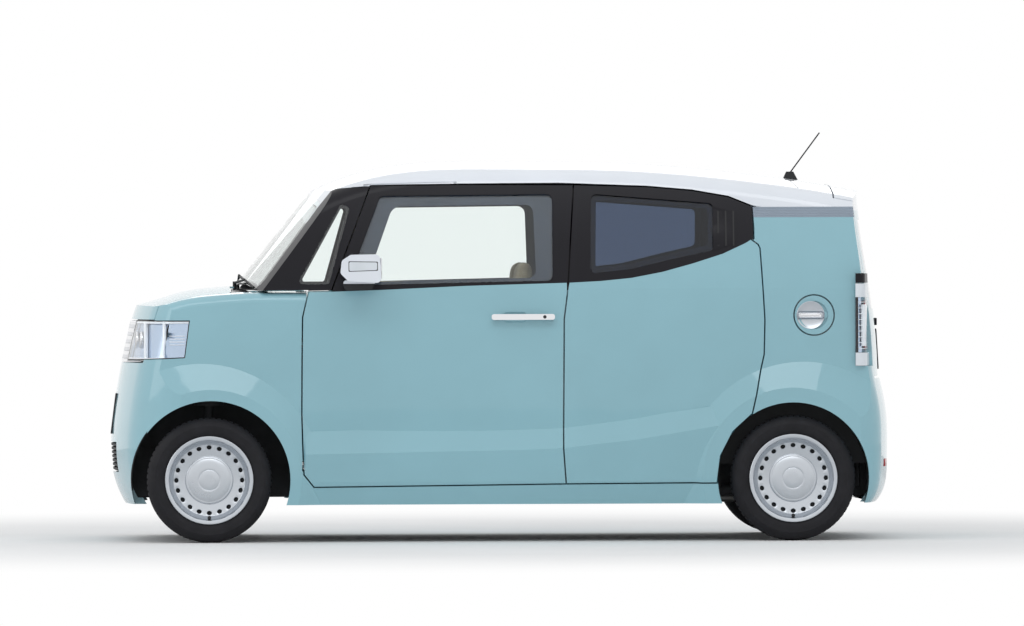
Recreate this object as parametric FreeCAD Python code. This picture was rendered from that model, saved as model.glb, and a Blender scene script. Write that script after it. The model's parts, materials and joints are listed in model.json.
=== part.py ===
"""Kei car: a small five-door hatchback, built as separate panels, doors, lids, glass and running gear.

Millimetres. +X forward, +Y left, +Z up, the origin on the ground under the middle of the car.
"""
import FreeCAD, Part
import math
import os
from FreeCAD import Vector

os.makedirs("parts", exist_ok=True)

# ---------------------------------------------------------------- driving dimensions
LENGTH = 3395.0
WIDTH = 1475.0
WHEELBASE = 2520.0
FRONT_OVERHANG = 430.0
ROOF_TOP = 1650.0
BELT = 1090.0                 # height where the glass starts at the front doors
SILL_BOTTOM = 162.0
SHUT_GAP = 6.3                # gap round doors and lids
FIT = 0.3                     # clearance of what is bonded or pushed in

WHEEL_RADIUS = 270.0
TRACK_HALF = 652.0            # from the middle of the car to a wheel's middle
RIM_RADIUS = 190.0
ARCH_FRONT = 342.0            # radius of the front wheel opening
ARCH_REAR = 327.0

DOOR_THICK = 85.0             # door and sill, skin to trim
FRAME_THICK = 42.0            # window frames and pillars
ROOF_THICK = 45.0
FENDER_THICK = 40.0
GLASS = 4.0
GLASS_INSET = 10.0            # glass behind the outer face of its frame
GLASS_LAP = 10.0              # glass hidden in its frame all round

NOSE = LENGTH / 2
TAIL = -LENGTH / 2
BEYOND = NOSE + 105              # outside the car, ahead and behind
FRONT_AXLE = NOSE - FRONT_OVERHANG
REAR_AXLE = FRONT_AXLE - WHEELBASE
DASH_WALL = FRONT_AXLE - 347.5    # front face of the wall between cabin and engine
HALF = WIDTH / 2
WAIST = HALF - 21.5           # half width of the plain body side, without ledge and flares
PLAN_RADIUS = 40000.0         # the body side seen from above
CROWN_RADIUS = 3500.0         # the roof seen from behind
BONNET_CROWN = 6000.0
SCREEN_RADIUS = 2250.0        # windscreen, a cylinder lying back
SCREEN_SLOPE = math.radians(51)
SCREEN_FOOT = (FRONT_AXLE - 133.8, 1134.0)

X, Y, Z = Vector(1, 0, 0), Vector(0, 1, 0), Vector(0, 0, 1)
ORIGIN = Vector(0, 0, 0)
NODES = {}


# ---------------------------------------------------------------- helpers
def box(x0, x1, y0, y1, z0, z1):
    return Part.makeBox(x1 - x0, y1 - y0, z1 - z0, Vector(x0, y0, z0))


def rod(radius, start, end):
    """Round bar from start to end."""
    line = Vector(*end) - Vector(*start)
    return Part.makeCylinder(radius, line.Length, Vector(*start), line)


def pipe(outer, inner, start, end):
    return rod(outer, start, end).cut(rod(inner, start, end))


def arc(a, b, c):
    return Part.Arc(Vector(*a), Vector(*b), Vector(*c)).toShape()


def line(a, b):
    return Part.LineSegment(Vector(*a), Vector(*b)).toShape()


def mirrored(shape):
    return shape.mirror(ORIGIN, Y)


def joined(shapes):
    first, rest = shapes[0], shapes[1:]
    return first.fuse(rest).removeSplitter() if rest else first


def offset(points, distances):
    """Polygon with each edge moved inwards; edge i runs from point i to the next one."""
    n = len(points)
    area = sum(points[i][0] * points[(i + 1) % n][1] - points[(i + 1) % n][0] * points[i][1] for i in range(n))
    turn = 1 if area > 0 else -1
    lines = []
    for i, (a, b) in enumerate(points):
        c, d = points[(i + 1) % n]
        size = math.hypot(c - a, d - b)
        nx, ny = -(d - b) / size * turn, (c - a) / size * turn
        lines.append((a + nx * distances[i], b + ny * distances[i], (c - a) / size, (d - b) / size))
    result = []
    for i in range(n):
        x1, y1, u1, v1 = lines[i - 1]
        x2, y2, u2, v2 = lines[i]
        cross = u1 * v2 - v1 * u2
        t = ((x2 - x1) * v2 - (y2 - y1) * u2) / cross if abs(cross) > 1e-3 else None
        result.append((x2, y2) if t is None else (x1 + u1 * t, y1 + v1 * t))
    return result


def rounded(points, radii, place):
    """Closed wire of straight edges and corner arcs; place turns (a, b) into a point in space."""
    n = len(points)
    corners = []
    for i, (px, py) in enumerate(points):
        r = radii[i] if isinstance(radii, (list, tuple)) else radii
        ax, ay = points[i - 1]
        bx, by = points[(i + 1) % n]
        la, lb = math.hypot(ax - px, ay - py), math.hypot(bx - px, by - py)
        ua, ub = ((ax - px) / la, (ay - py) / la), ((bx - px) / lb, (by - py) / lb)
        inner = math.acos(max(-1, min(1, ua[0] * ub[0] + ua[1] * ub[1])))
        if r <= 0 or inner > math.pi - 0.02:
            corners.append([(px, py)])
            continue
        t = r / math.tan(inner / 2)
        start = (px + ua[0] * t, py + ua[1] * t)
        end = (px + ub[0] * t, py + ub[1] * t)
        mx, my = ua[0] + ub[0], ua[1] + ub[1]
        size = math.hypot(mx, my)
        reach = r / math.sin(inner / 2) - r
        corners.append([start, (px + mx / size * reach, py + my / size * reach), end])
    edges = []
    for i, corner in enumerate(corners):
        if len(corner) == 3:
            edges.append(arc(*(place(*p) for p in corner)))
        after = corners[(i + 1) % n][0]
        edges.append(line(place(*corner[-1]), place(*after)))
    return Part.Wire(edges)


def side_prism(points, y0=0.0, y1=900.0, radii=0):
    """Outline seen from the side (X, Z), pushed through from y0 to y1."""
    wire = rounded(points, radii, lambda a, b: (a, y0, b))
    return Part.Face(wire).extrude(Vector(0, y1 - y0, 0))


# ---------------------------------------------------------------- body surfaces
# half width at each height, as arcs: start, middle, end of each
SIDE_SECTION = [(-16.0, 100.0), (-4.0, 440.0), (0.0, 760.0), (-4.5, 925.0), (-18.0, 1090.0), (-58.0, 1325.0),
                (-156.0, 1700.0)]


def body_side(inset=0.0):
    """Both curved body sides as one long block, open at the ends."""
    pts = [(0, WAIST + y - inset, z) for y, z in SIDE_SECTION]
    low, high = pts[0][2], pts[-1][2]
    far = -1500
    edges = [arc(*pts[0:3]), arc(*pts[2:5]), arc(*pts[4:7]), line(pts[6], (0, far, high)),
             line((0, far, high), (0, far, low)), line((0, far, low), pts[0])]
    face = Part.Face(Part.Wire(edges))
    pivot = Vector(0, WAIST - PLAN_RADIUS, 0)
    swing = 3.2
    face.rotate(pivot, Z, -swing)
    left = face.revolve(pivot, Z, 2 * swing)
    return left.common(mirrored(left))


def crowned(points, floor, radius, half_angle, drop=0.0):
    """Solid under a long profile (X, Z) that is crowned from side to side."""
    curve = Part.BSplineCurve()
    curve.interpolate([Vector(x, 0, z - drop) for x, z in points])
    (ax, az), (bx, bz) = points[0], points[-1]
    wire = Part.Wire([curve.toShape(), line((bx, 0, bz - drop), (bx, 0, floor)),
                      line((bx, 0, floor), (ax, 0, floor)),
                      line((ax, 0, floor), (ax, 0, az - drop))])
    top = max(z for x, z in points)
    pivot = Vector(0, 0, top - radius)
    face = Part.Face(wire)
    face.rotate(pivot, X, -half_angle)
    return face.revolve(pivot, X, 2 * half_angle)


# long profiles: (distance from the axle, height)
ROOF_LINE = [(-30, 1200), (-252, 1395), (-446, 1523), (-760, 1625), (-1256, ROOF_TOP), (-1852, 1638),
             (-2352, 1592), (-2766, 1530),
             (-2952, 1490)]
BONNET_LINE = [(467, 870), (405, 955), (350, 1008), (254, 1042), (125, 1081), (-26, 1102), (-250, 1114),
               (-1500, 1130)]


def roof_block(drop=0.0):
    return crowned([(FRONT_AXLE + x, z) for x, z in ROOF_LINE], 0, CROWN_RADIUS, 23, drop)


def bonnet_block(drop=0.0):
    return crowned([(FRONT_AXLE + x, z) for x, z in BONNET_LINE], 0, BONNET_CROWN, 10, drop)


def end_wire(x, z, face_radius, corner, half, back, way):
    """Section of the nose or tail seen from above: a gently curved face and two round corners."""
    yc = half - corner
    a = math.asin(yc / (face_radius - corner))
    xf = x - face_radius
    xc = xf + (face_radius - corner) * math.cos(a)

    def front(t):
        return (way * (xf + face_radius * math.cos(t)), face_radius * math.sin(t), z)

    def turn(t, side):
        return (way * (xc + corner * math.cos(t)), side * (yc + corner * math.sin(t)), z)

    quarter = math.pi / 2
    mid = (a + quarter) / 2
    return Part.Wire([
        arc(front(-a), front(0), front(a)),
        arc(turn(a, 1), turn(mid, 1), turn(quarter, 1)),
        line(turn(quarter, 1), (way * back, half, z)), line((way * back, half, z), (way * back, -half, z)),
        line((way * back, -half, z), turn(quarter, -1)),
        arc(turn(quarter, -1), turn(mid, -1), turn(a, -1))])


# how far the ends stand back from the longest point: (set back, height)
NOSE_LINE = [(70, 150), (10, 300), (0, 420), (13, 570), (48, 775), (86, 940), (150, 1110)]
TAIL_LINE = [(46, 150), (43, 500), (41, 690), (43, 760), (82, 1150), (124, 1413), (112, 1720)]
NOSE_RADIUS, NOSE_CORNER = 2000.0, 270.0
TAIL_RADIUS, TAIL_CORNER = 3500.0, 130.0


def nose_block(inset=0.0):
    sections = [end_wire(NOSE - s - inset, z, NOSE_RADIUS, NOSE_CORNER, HALF + 4 - inset, 200, 1) for s,
                z in NOSE_LINE]
    return Part.makeLoft(sections, True, False)


def tail_block(inset=0.0, profile=TAIL_LINE):
    sections = [end_wire(-TAIL - s - inset, z, TAIL_RADIUS, TAIL_CORNER, HALF + 4 - inset, -1200, -1)
                for s, z in profile]
    return Part.makeLoft(sections, True, False)


def screen_cylinder(inset=0.0):
    """Everything behind the windscreen's outer face."""
    out = Vector(math.sin(SCREEN_SLOPE), 0, math.cos(SCREEN_SLOPE))
    down = Vector(-math.cos(SCREEN_SLOPE), 0, math.sin(SCREEN_SLOPE))
    foot = Vector(SCREEN_FOOT[0], 0, SCREEN_FOOT[1]) - out * SCREEN_RADIUS
    return Part.makeCylinder(SCREEN_RADIUS - inset, 7000, foot - down * 3500, down)


# ---------------------------------------------------------------- wheel flares and the ledge along the doors
CREASE = 390.0                # radius of the crease round each wheel opening
FLARE_RUN, FLARE_DROP = 100.0, 37.5
ARCH_CENTRE_FRONT = FRONT_AXLE - 8


# the ledge: (X from the rear axle, height of its top line, height of its crease)
LEDGE = [(2106, 452, 380), (1179, 472, 396), (993, 477, 403), (669, 510, 440), (320, 562, 498)]
LEDGE_FOOT = 260.0            # the ledge is widest from here up to its crease
FLARE_TOP = 1000.0


def ledge():
    """Swelling along the lower doors, on the left side."""
    inner = WAIST - 60

    def section(row):
        x, top, crease = row
        rise = 8 * (top - crease) / (HALF - WAIST)
        pts = [(WAIST - 8, top + rise), (HALF - 1, crease), (HALF - 12, LEDGE_FOOT),
               (WAIST - 14, SILL_BOTTOM),
               (inner, SILL_BOTTOM), (inner, top + rise)]
        corners = [Vector(REAR_AXLE + x, y, z) for y, z in pts]
        return Part.makePolygon(corners + corners[:1])
    return Part.makeLoft([section(row) for row in LEDGE], True, True)


def outer_masses():
    """The solid outside of the front end and of the cabin, with flares and ledge."""
    left = body_side().common(box(-BEYOND, BEYOND, 0, 800, SILL_BOTTOM, 1690)).fuse(ledge())
    for axle in (ARCH_CENTRE_FRONT, REAR_AXLE):
        cone = Part.makeCone(CREASE, CREASE + FLARE_RUN * 2.2, FLARE_DROP * 2.2,
                             Vector(axle, HALF, WHEEL_RADIUS), -Y)
        left = left.fuse(cone.common(box(-BEYOND, BEYOND, 640, HALF + 1, SILL_BOTTOM, FLARE_TOP)))
    whole = left.fuse(mirrored(left)).removeSplitter()
    front = whole.common(nose_block()).common(bonnet_block()).common(box(700, BEYOND, -800, 800, 0, 1200))
    cabin = whole.common(tail_block()).common(roof_block()).common(screen_cylinder())
    rear = whole.common(tail_block(0, BUMPER_TAIL)).common(box(-BEYOND, REAR_AXLE + 100, -800, 800, 0, 750))
    return front, cabin, rear


def edges_near(shape, test):
    return [e for e in shape.Edges if test(e.BoundBox)]


EDGE_ROUND = 90.0             # roof to side
SHOULDER_ROUND = 45.0         # bonnet to fender


def softened(front, cabin):
    cabin = cabin.makeFillet(EDGE_ROUND, edges_near(cabin, lambda b: b.XLength > 1500 and b.ZMin > 1400))
    front = front.makeFillet(SHOULDER_ROUND, edges_near(front, lambda b: b.XLength > 500 and b.ZMin > 1000))
    return front, cabin


# ---------------------------------------------------------------- shut lines, (X, Z) seen from the side
def from_rear(points):
    return [(REAR_AXLE + x, z) for x, z in points]


def from_front(points):
    return [(FRONT_AXLE + x, z) for x, z in points]


# the line between front and rear door, from sill to roof, in distance from the rear axle
PILLAR_BACK = 50.0            # the middle pillar starts this far behind the skin, below the glass
MIDDLE_LINE = from_rear([(981, 250), (992, 400), (987, 959), (973, 1065), (969, 1116), (942, 1537)])
FRONT_LINE = from_front([(-452, 239), (-411, 293), (-399, 551), (-403, 970), (-427, 1079)])
BELT_LINE = from_front([(-427, 1079), (-532, 1081), (-750, 1088), (-1108, 1104)])
REAR_BELT = from_rear([(828, 1123), (695, 1136), (563, 1161), (431, 1197), (299, 1239), (200, 1285),
                       (167, 1305)])
REAR_LINE = from_rear([(131, 585), (122, 803), (117, 954), (130, 1265), (140, 1285), (167, 1305)])
DOOR_GAP = SHUT_GAP / 2


def shifted(points, dx):
    return [(x + dx, z) for x, z in points]


def front_door_outlines():
    rear = shifted(MIDDLE_LINE, DOOR_GAP)
    low = [rear[0]] + FRONT_LINE[:4] + BELT_LINE + [rear[4], rear[3], rear[2], rear[1]]
    top = [rear[4], BELT_LINE[3], BELT_LINE[2], BELT_LINE[1]]
    top += [(FRONT_AXLE - 703, 1536), (FRONT_AXLE - 1096, 1540), rear[5]]
    return low, top


def rear_door_outlines():
    front = shifted(MIDDLE_LINE, -DOOR_GAP)
    lip = ARCH_REAR + 6
    arch = [(REAR_AXLE + lip * math.cos(t), WHEEL_RADIUS + lip * math.sin(t)) for t in
            (-0.05, 0.30, 0.66, 1.0)]
    low = [front[0], front[1], front[2], front[3], front[4]] + REAR_BELT + REAR_LINE[::-1][1:5] + arch[::-1]
    top = [front[4]] + REAR_BELT + from_rear([(167, 1350), (173, 1443), (272, 1483), (431, 1511),
                                              (629, 1528)])
    top += [front[5]]
    return low, top


BAND_LOW, BAND_HIGH = 1396.0, 1441.0     # ribbed band between rear quarter and roof
TAILGATE_HALF = 588.0
TAILGATE_SPLIT = REAR_AXLE - 188.0        # front edge of the tailgate on the roof
TAILGATE_BOTTOM = 706.0
BONNET_HALF = 606.0
BONNET_BACK = FRONT_AXLE - 92.0
BONNET_FRONT = 963.0                      # height of its front edge
BONNET_THICK = 26.0
LAMP_TOP, LAMP_BOTTOM = 958.0, 778.0
LAMP_INNER = 330.0
LAMP_SIDE = from_front([(600, LAMP_BOTTOM), (103.5, 798), (82.5, LAMP_TOP), (600, LAMP_TOP)])
BUMPER_LINE = from_front([(112.5, 776), (112.5, 750), (134.5, 654), (120, 560)])
TAIL_LAMP = (753.0, 1153.0)
TAIL_LAMP_FRONT = REAR_AXLE - 271.5
REAR_BUMPER_LINE = from_rear([(-275.5, 750), (-275.5, 658), (-163.5, 576), (-120, 540)])
FLOOR = 250.0
# half width and distance up the slope
SCREEN_OUTLINE = [(622, 16), (300, -6), (-300, -6), (-622, 16), (-546, 480), (546, 480)]
SCREEN_LAP = 22.0             # width of the bonded edge


def door_plug(low, top, grow=0.0, straight=40.0):
    """Lower and upper plug of one door; the rear and front edges taper inwards behind a straight outer part."""
    def sections(points, skin, lean, levels):
        wires = []
        for distance, insets in levels:
            moved = offset(points, [i - grow for i in insets])
            wires.append(rounded(moved, 0, lambda a, b: (a, skin - lean * (b - BELT) - distance, b)))
        return Part.makeLoft(wires, True, True)
    flat = [0] * len(low[1])
    early = [EDGE_EARLY if i == EDGE_INSET else 0 for i in low[1]]
    lower = sections(low[0], HALF, 0.0, [(-60, flat), (2, flat), (straight, early), (105, low[1]),
                                         (160, low[1])])
    flat = [0] * len(top[1])
    upper = sections(top[0], WAIST - 18, 0.215,
                     [(-60, flat), (14, flat), (FRAME_THICK, top[1]), (120, top[1])])
    return lower, upper


B_INSET, EDGE_INSET = 42.0, 14.0
EDGE_EARLY = 5.0              # part of EDGE_INSET reached where the middle edges are still straight
# hinge line of each door: x, (y, z) at the foot and at the head, heights of the hinges, then elbow, reach and seat

FRONT_HINGES = (FRONT_AXLE - 369, (729.5, 330.0), (697.0, 860.0), (330.0, 860.0), 44.0, 56.0, (0, 78, 0))
REAR_HINGES = (REAR_AXLE + 945, (726.7, 392.0), (704.6, 870.0), (392.0, 870.0), 64.0, 50.0, (14, 0, 0))


def front_door_plug(grow=0.0):
    low, top = front_door_outlines()
    insets_low = [EDGE_INSET] * 6 + [0, 0, 0] + [B_INSET] * 4
    insets_low[5] = 0
    insets_top = [0, 0, 0] + [10.0, 10.0, 10.0, 30.0]
    return door_plug((low, insets_low), (top, insets_top), grow)


def rear_door_plug(grow=0.0):
    low, top = rear_door_outlines()
    insets_low = [B_INSET] * 4 + [0] * 7 + [EDGE_INSET] * (len(low) - 11)
    insets_top = [0] * 7 + [10.0] * 6 + [30.0]
    return door_plug((low, insets_low), (top, insets_top), grow)


def cabin_void():
    low = body_side(DOOR_THICK).common(box(-1600, 1100, -800, 800, FLOOR, 1062))
    high = body_side(FRAME_THICK).common(box(-1600, 1100, -800, 800, 1062, 1700))
    room = low.fuse(high).common(roof_block(ROOF_THICK)).common(screen_cylinder(FRAME_THICK)).common(tail_block(60))
    return room.cut(box(DASH_WALL, 1200, -800, 800, 0, 1060))


def screen_prism(grow=0.0, radius=55.0):
    """Block through the windscreen; its outline lies in the slope of the screen and grows all round."""
    out = Vector(math.sin(SCREEN_SLOPE), 0, math.cos(SCREEN_SLOPE))
    up = Vector(-math.cos(SCREEN_SLOPE), 0, math.sin(SCREEN_SLOPE))
    foot = Vector(SCREEN_FOOT[0], 0, SCREEN_FOOT[1]) - out * 220
    outline = offset(SCREEN_OUTLINE, [-grow] * len(SCREEN_OUTLINE))

    def place(y, s):
        p = foot + up * s + Y * y
        return (p.x, p.y, p.z)
    radii = [radius if abs(y) > 400 else 0 for y, s in outline]
    return Part.Face(rounded(outline, radii, place)).extrude(out * 300)


def both(shape):
    return Part.makeCompound([shape, mirrored(shape)])


def save(name, shape):
    solids = [s for s in shape.Solids if s.Volume > 200]
    NODES[name] = Part.makeCompound(solids) if len(solids) > 1 else solids[0]
    NODES[name].exportStep("parts/" + name + ".step")


# ---------------------------------------------------------------- hinges
HINGE_PIN, HINGE_BORE, BARREL = 2.5, 2.55, 4.5
KNUCKLE_HALF, PIN_HALF = 7.0, 17.0       # half length of the moving barrel and of the whole pin
POCKET_HALF = 22.0
SKIN_LEFT = 5.2                          # pocket ends this far outside the axis


def hinge(origin, ahead, out, elbow, reach, seat):
    """Fixed barrels with pin, moving barrel with bent arm, and their pocket; the panel lies against `ahead`.

    elbow: how far the arm dips behind the skin; reach: how far it runs towards the panel;
    seat: (ahead, inwards, back) lengths of the fixed barrels' bracket."""
    fixed = [rod(HINGE_PIN, (0, 0, -PIN_HALF), (0, 0, PIN_HALF))]
    for side in (1, -1):
        low, high = sorted((side * (KNUCKLE_HALF + 1), side * PIN_HALF))
        fixed.append(rod(BARREL, (0, 0, low), (0, 0, high)))
        if seat[1]:
            fixed.append(box(-3, 3, -seat[1], 0, low, high))
            fixed.append(box(-3 - seat[2], 3, -seat[1], 8 - seat[1], low, high))
        else:
            fixed.append(box(0, seat[0], -3, 3, low, high))
    half = KNUCKLE_HALF - 0.5
    moving = [rod(BARREL, (0, 0, -KNUCKLE_HALF), (0, 0, KNUCKLE_HALF)),
              box(-reach, 3.5, -elbow - 3.5, -elbow + 3.5, -half, half)]
    if elbow > 5:
        moving.append(box(-1.5, 3.5, -elbow, 0, -half, half))
    arm = joined(moving).cut(rod(HINGE_BORE, (0, 0, -KNUCKLE_HALF - 1), (0, 0, KNUCKLE_HALF + 1)))
    pocket = box(-reach - 10, BARREL + 5, -elbow - 10, SKIN_LEFT, -POCKET_HALF, POCKET_HALF)
    axis = ahead.cross(out)
    place = FreeCAD.Placement(FreeCAD.Matrix(ahead.x, out.x, axis.x, origin[0], ahead.y, out.y, axis.y,
                                             origin[1],
                                             ahead.z, out.z, axis.z, origin[2], 0, 0, 0, 1))
    shapes = [joined(fixed), arm, pocket]
    for shape in shapes:
        shape.Placement = place
    return shapes


def door_hinges(ahead, x, foot, head, heights, elbow, reach, seat):
    """Hinges of one left door on the line from `foot` to `head`, both (y, z)."""
    lean = Vector(0, head[0] - foot[0], head[1] - foot[1])
    lean.normalize()
    out = lean.cross(X)
    found = []
    for z in heights:
        y = foot[0] + (head[0] - foot[0]) * (z - foot[1]) / (head[1] - foot[1])
        found.append(hinge((x, y, z), ahead, out, elbow, reach, seat))
    return found


# ---------------------------------------------------------------- body shell and roof
def above(points, top=1720.0):
    """Everything over a line seen from the side, on the left."""
    return side_prism(list(points) + [(points[-1][0], top), (points[0][0], top)], 0, 900)


def tail_plug(grow=0.0):
    """Block of the tailgate: straight at the outside, narrower inside."""
    def section(x, inset):
        half, low, high = TAILGATE_HALF + grow - inset, TAILGATE_BOTTOM - grow + inset, 1710
        return rounded([(-half, low), (half, low), (half, high), (-half, high)], 0, lambda a, b: (x, a, b))
    skin = TAIL + 41
    front = TAILGATE_SPLIT + grow
    return Part.makeLoft([section(-BEYOND, 0), section(skin + 50, 0), section(skin + 110, 14),
                          section(front, 14)],
                         True, True)


def arch_cutter(axle, radius, inner, liner_end):
    """Wheel opening on the left, wider where the liner lies inside it."""
    opening = rod(radius, (axle, inner, WHEEL_RADIUS), (axle, 900, WHEEL_RADIUS))
    return opening.fuse(rod(radius + LINER + 1.3, (axle, inner, WHEEL_RADIUS),
                            (axle, liner_end, WHEEL_RADIUS)))


def lamp_plugs(grow=0.0):
    """Outlines of the left headlamp and tail lamp, pushed through the shell."""
    head = side_prism(offset(LAMP_SIDE, [-grow] * 4), 0,
                      900).common(box(0, BEYOND, LAMP_INNER - grow, 900, 0, 1700))
    low, high = TAIL_LAMP
    tail = box(-BEYOND, TAIL_LAMP_FRONT + grow, TAILGATE_HALF + SHUT_GAP + 4 - grow, 900, low - grow,
               high + grow)
    return head, tail


DRIP = from_rear([(2700, 1519), (2075, 1519), (1817, 1537), (1424, 1546), (1006, 1548), (629, 1534),
                  (431, 1517),
                  (272, 1489), (173, 1449), (147, BAND_HIGH), (-600, BAND_HIGH)])
HEADER_HALF = 548.0


def build_cabin(cabin):
    room = cabin_void()
    front_low, front_top = front_door_plug()
    rear_low, rear_top = rear_door_plug()
    doors = [p for plug in (front_door_plug(SHUT_GAP), rear_door_plug(SHUT_GAP)) for p in plug]
    tail_lamp = lamp_plugs(FIT)[1]
    screen_hole = screen_prism(-SCREEN_LAP, 40)
    screen_seat = screen_prism(FIT).cut(screen_cylinder(GLASS + 1 + FIT))

    front_hinges, rear_hinges = door_hinges(X, *FRONT_HINGES), door_hinges(-X, *REAR_HINGES)
    shell = cabin.cut(room)
    left = shell.common(box(-BEYOND, 1300, 0, 800, 0, 1720))
    for cutter in doors + [tail_plug(SHUT_GAP), tail_lamp,
                           arch_cutter(REAR_AXLE, ARCH_REAR, 500, WAIST - DOOR_THICK + 1),
                           screen_hole, screen_seat]:
        left = left.cut(cutter)
    # the middle pillar stands back behind the doors
    pillar_zone = side_prism([(x, z) for x, z in shifted(MIDDLE_LINE, -60)] +
                             [(x, z) for x, z in shifted(MIDDLE_LINE, 60)[::-1]], 400, 900)
    outer_zone = pillar_zone.cut(body_side(PILLAR_BACK)).common(box(-500, 0, 0, 900, FLOOR + 8, 1060))
    left = left.cut(outer_zone).cut(pillar_zone.cut(body_side(26)).common(box(-500, 0, 0, 900, 1050, 1525)))

    sill_front, quarter = FRONT_AXLE - 422, REAR_AXLE + 177
    aqua = side_prism([(sill_front, 100), (sill_front, 700), (100, 700), (100, 1085), (quarter, 1085),
                       (quarter, BAND_LOW), (-BEYOND, BAND_LOW), (-BEYOND, 100)], 560, 900)
    bumper = rear_bumper_region()
    side = left.common(aqua).cut(bumper).cut(body_side(DOOR_THICK).common(box(-BEYOND, 1300, -800, 800, 0,
                                                                              FLOOR + 1)))
    for barrels, arm, hinge_pocket in rear_hinges:
        side = side.fuse(arm)
    band = left.common(box(-BEYOND, quarter, 560, 900, BAND_LOW, BAND_HIGH))
    roof_zone = above(DRIP)
    roof_left = left.common(roof_zone.fuse(box(-BEYOND, 1300, -1, HEADER_HALF, 1380, 1720)))
    roof_left = roof_left.common(box(-BEYOND, 1300, 0, 800, BAND_HIGH,
                                     1720).fuse(box(-800, 1300, 0, 800, 1380, 1720)))
    frame = left.common(above(from_rear([(2700, 1088), (2090, 1088), (2090, 1085), (177, 1085)])))
    frame = frame.cut(roof_zone).cut(box(-BEYOND, 1300, -1, HEADER_HALF, 1380, 1720)).cut(box(-BEYOND,
                                                                                              quarter, 0, 900,
                                                                                              0, 1720))
    quarter_hole = side_prism(QUARTER_OPENING, 400, 900, 12)
    quarter_seat = side_prism(offset(QUARTER_OPENING, [-9] * 4), 400, 900, 16)
    rebate = body_side(-5).cut(body_side(GLASS + FIT))
    pane = body_side(0).cut(body_side(GLASS)).common(quarter_seat)
    frame = frame.cut(quarter_hole).cut(rebate.common(side_prism(offset(QUARTER_OPENING, [-9 - FIT] * 4), 400,
                                                                 900, 16)))
    strip = box(900, 1300, -1, 590, 1000, SCREEN_FOOT[1] - 22).cut(screen_cylinder(COWL_BACK))
    frame = frame.cut(strip)
    save("quarter_windows", both(pane))
    x, z, radius = FUEL_LID
    lid = side_prism_disc(x, z, radius - SHUT_GAP / 2)
    grip = side_prism([(x - 58, z - 17), (x + 58, z - 17), (x + 58, z + 17), (x - 58, z + 17)], 400, 900, 16)
    dish = side_prism_disc(x, z, LID_DISH).cut(grip).cut(body_side(LID_THICK / 2))
    flap = side.common(lid).cut(body_side(LID_THICK)).cut(dish)
    fixed, arm, hinge_pocket = hinge(LID_HINGE, X, Y, 30.0, 44.0, (14, 0, 0))
    lift = box(LID_HINGE[0] - 44, LID_HINGE[0] - 36, LID_HINGE[1] - 33.5, LID_HINGE[1] - 4,
               z - KNUCKLE_HALF + 0.5,
               z + KNUCKLE_HALF - 0.5)
    save("fuel_lid", joined([flap, arm, lift]))
    pocket = side_prism_disc(x, z, radius + SHUT_GAP / 2)
    side_with_pocket = side.cut(pocket.cut(body_side(34))).cut(hinge_pocket).fuse(fixed)
    save("body_side_left", side_with_pocket)
    save("body_side_right", mirrored(side))
    save("roof_band", both(band))
    fixed, lid_arm, hinge_pocket = hinge(ROOF_HINGE, X, Z, 30.0, 45.0, (14, 0, 0))
    roof_left = roof_left.cut(hinge_pocket).fuse(fixed)
    save("roof_panel", joined([roof_left, mirrored(roof_left)]))
    save("cabin_frame", both(frame))

    glass = screen_cylinder().cut(screen_cylinder(GLASS + 1)).common(screen_prism())
    save("windscreen", glass.common(cabin))

    lid = shell.common(tail_plug())
    window = rounded([(-510, 1010), (510, 1010), (480, 1372), (-480, 1372)], 50, lambda a, b: (-BEYOND, a, b))
    hole = Part.Face(window).extrude(Vector(400, 0, 0))
    seat = rounded([(-522, 998), (522, 998), (492, 1384), (-492, 1384)], 60, lambda a, b: (-BEYOND, a, b))
    pane = Part.Face(seat).extrude(Vector(400, 0, 0)).common(tail_block(GLASS_INSET - 6)).cut(
        tail_block(GLASS_INSET - 6 + GLASS))
    rebate = rounded([(-522 - FIT, 998 - FIT), (522 + FIT, 998 - FIT), (492 + FIT, 1384 + FIT),
                      (-492 - FIT, 1384 + FIT)],
                     60, lambda a, b: (-BEYOND, a, b))
    lid = lid.cut(hole).cut(Part.Face(rebate).extrude(Vector(400, 0,
                                                             0)).cut(tail_block(GLASS_INSET - 6 + GLASS + FIT)))
    save("tailgate", lid.common(box(-BEYOND, 0, -700, 700, 0, 1425)))
    cap = lid.common(box(-BEYOND, 0, -700, 700, 1425, 1720))
    save("tailgate_cap", joined([cap, lid_arm, mirrored(lid_arm)]))
    save("tailgate_glass", pane)
    lamp = tail_lamp_block().cut(tail_lamp_block(LAMP_THICK)).common(lamp_plugs()[1])
    save("tail_lamps", both(lamp))

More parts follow.
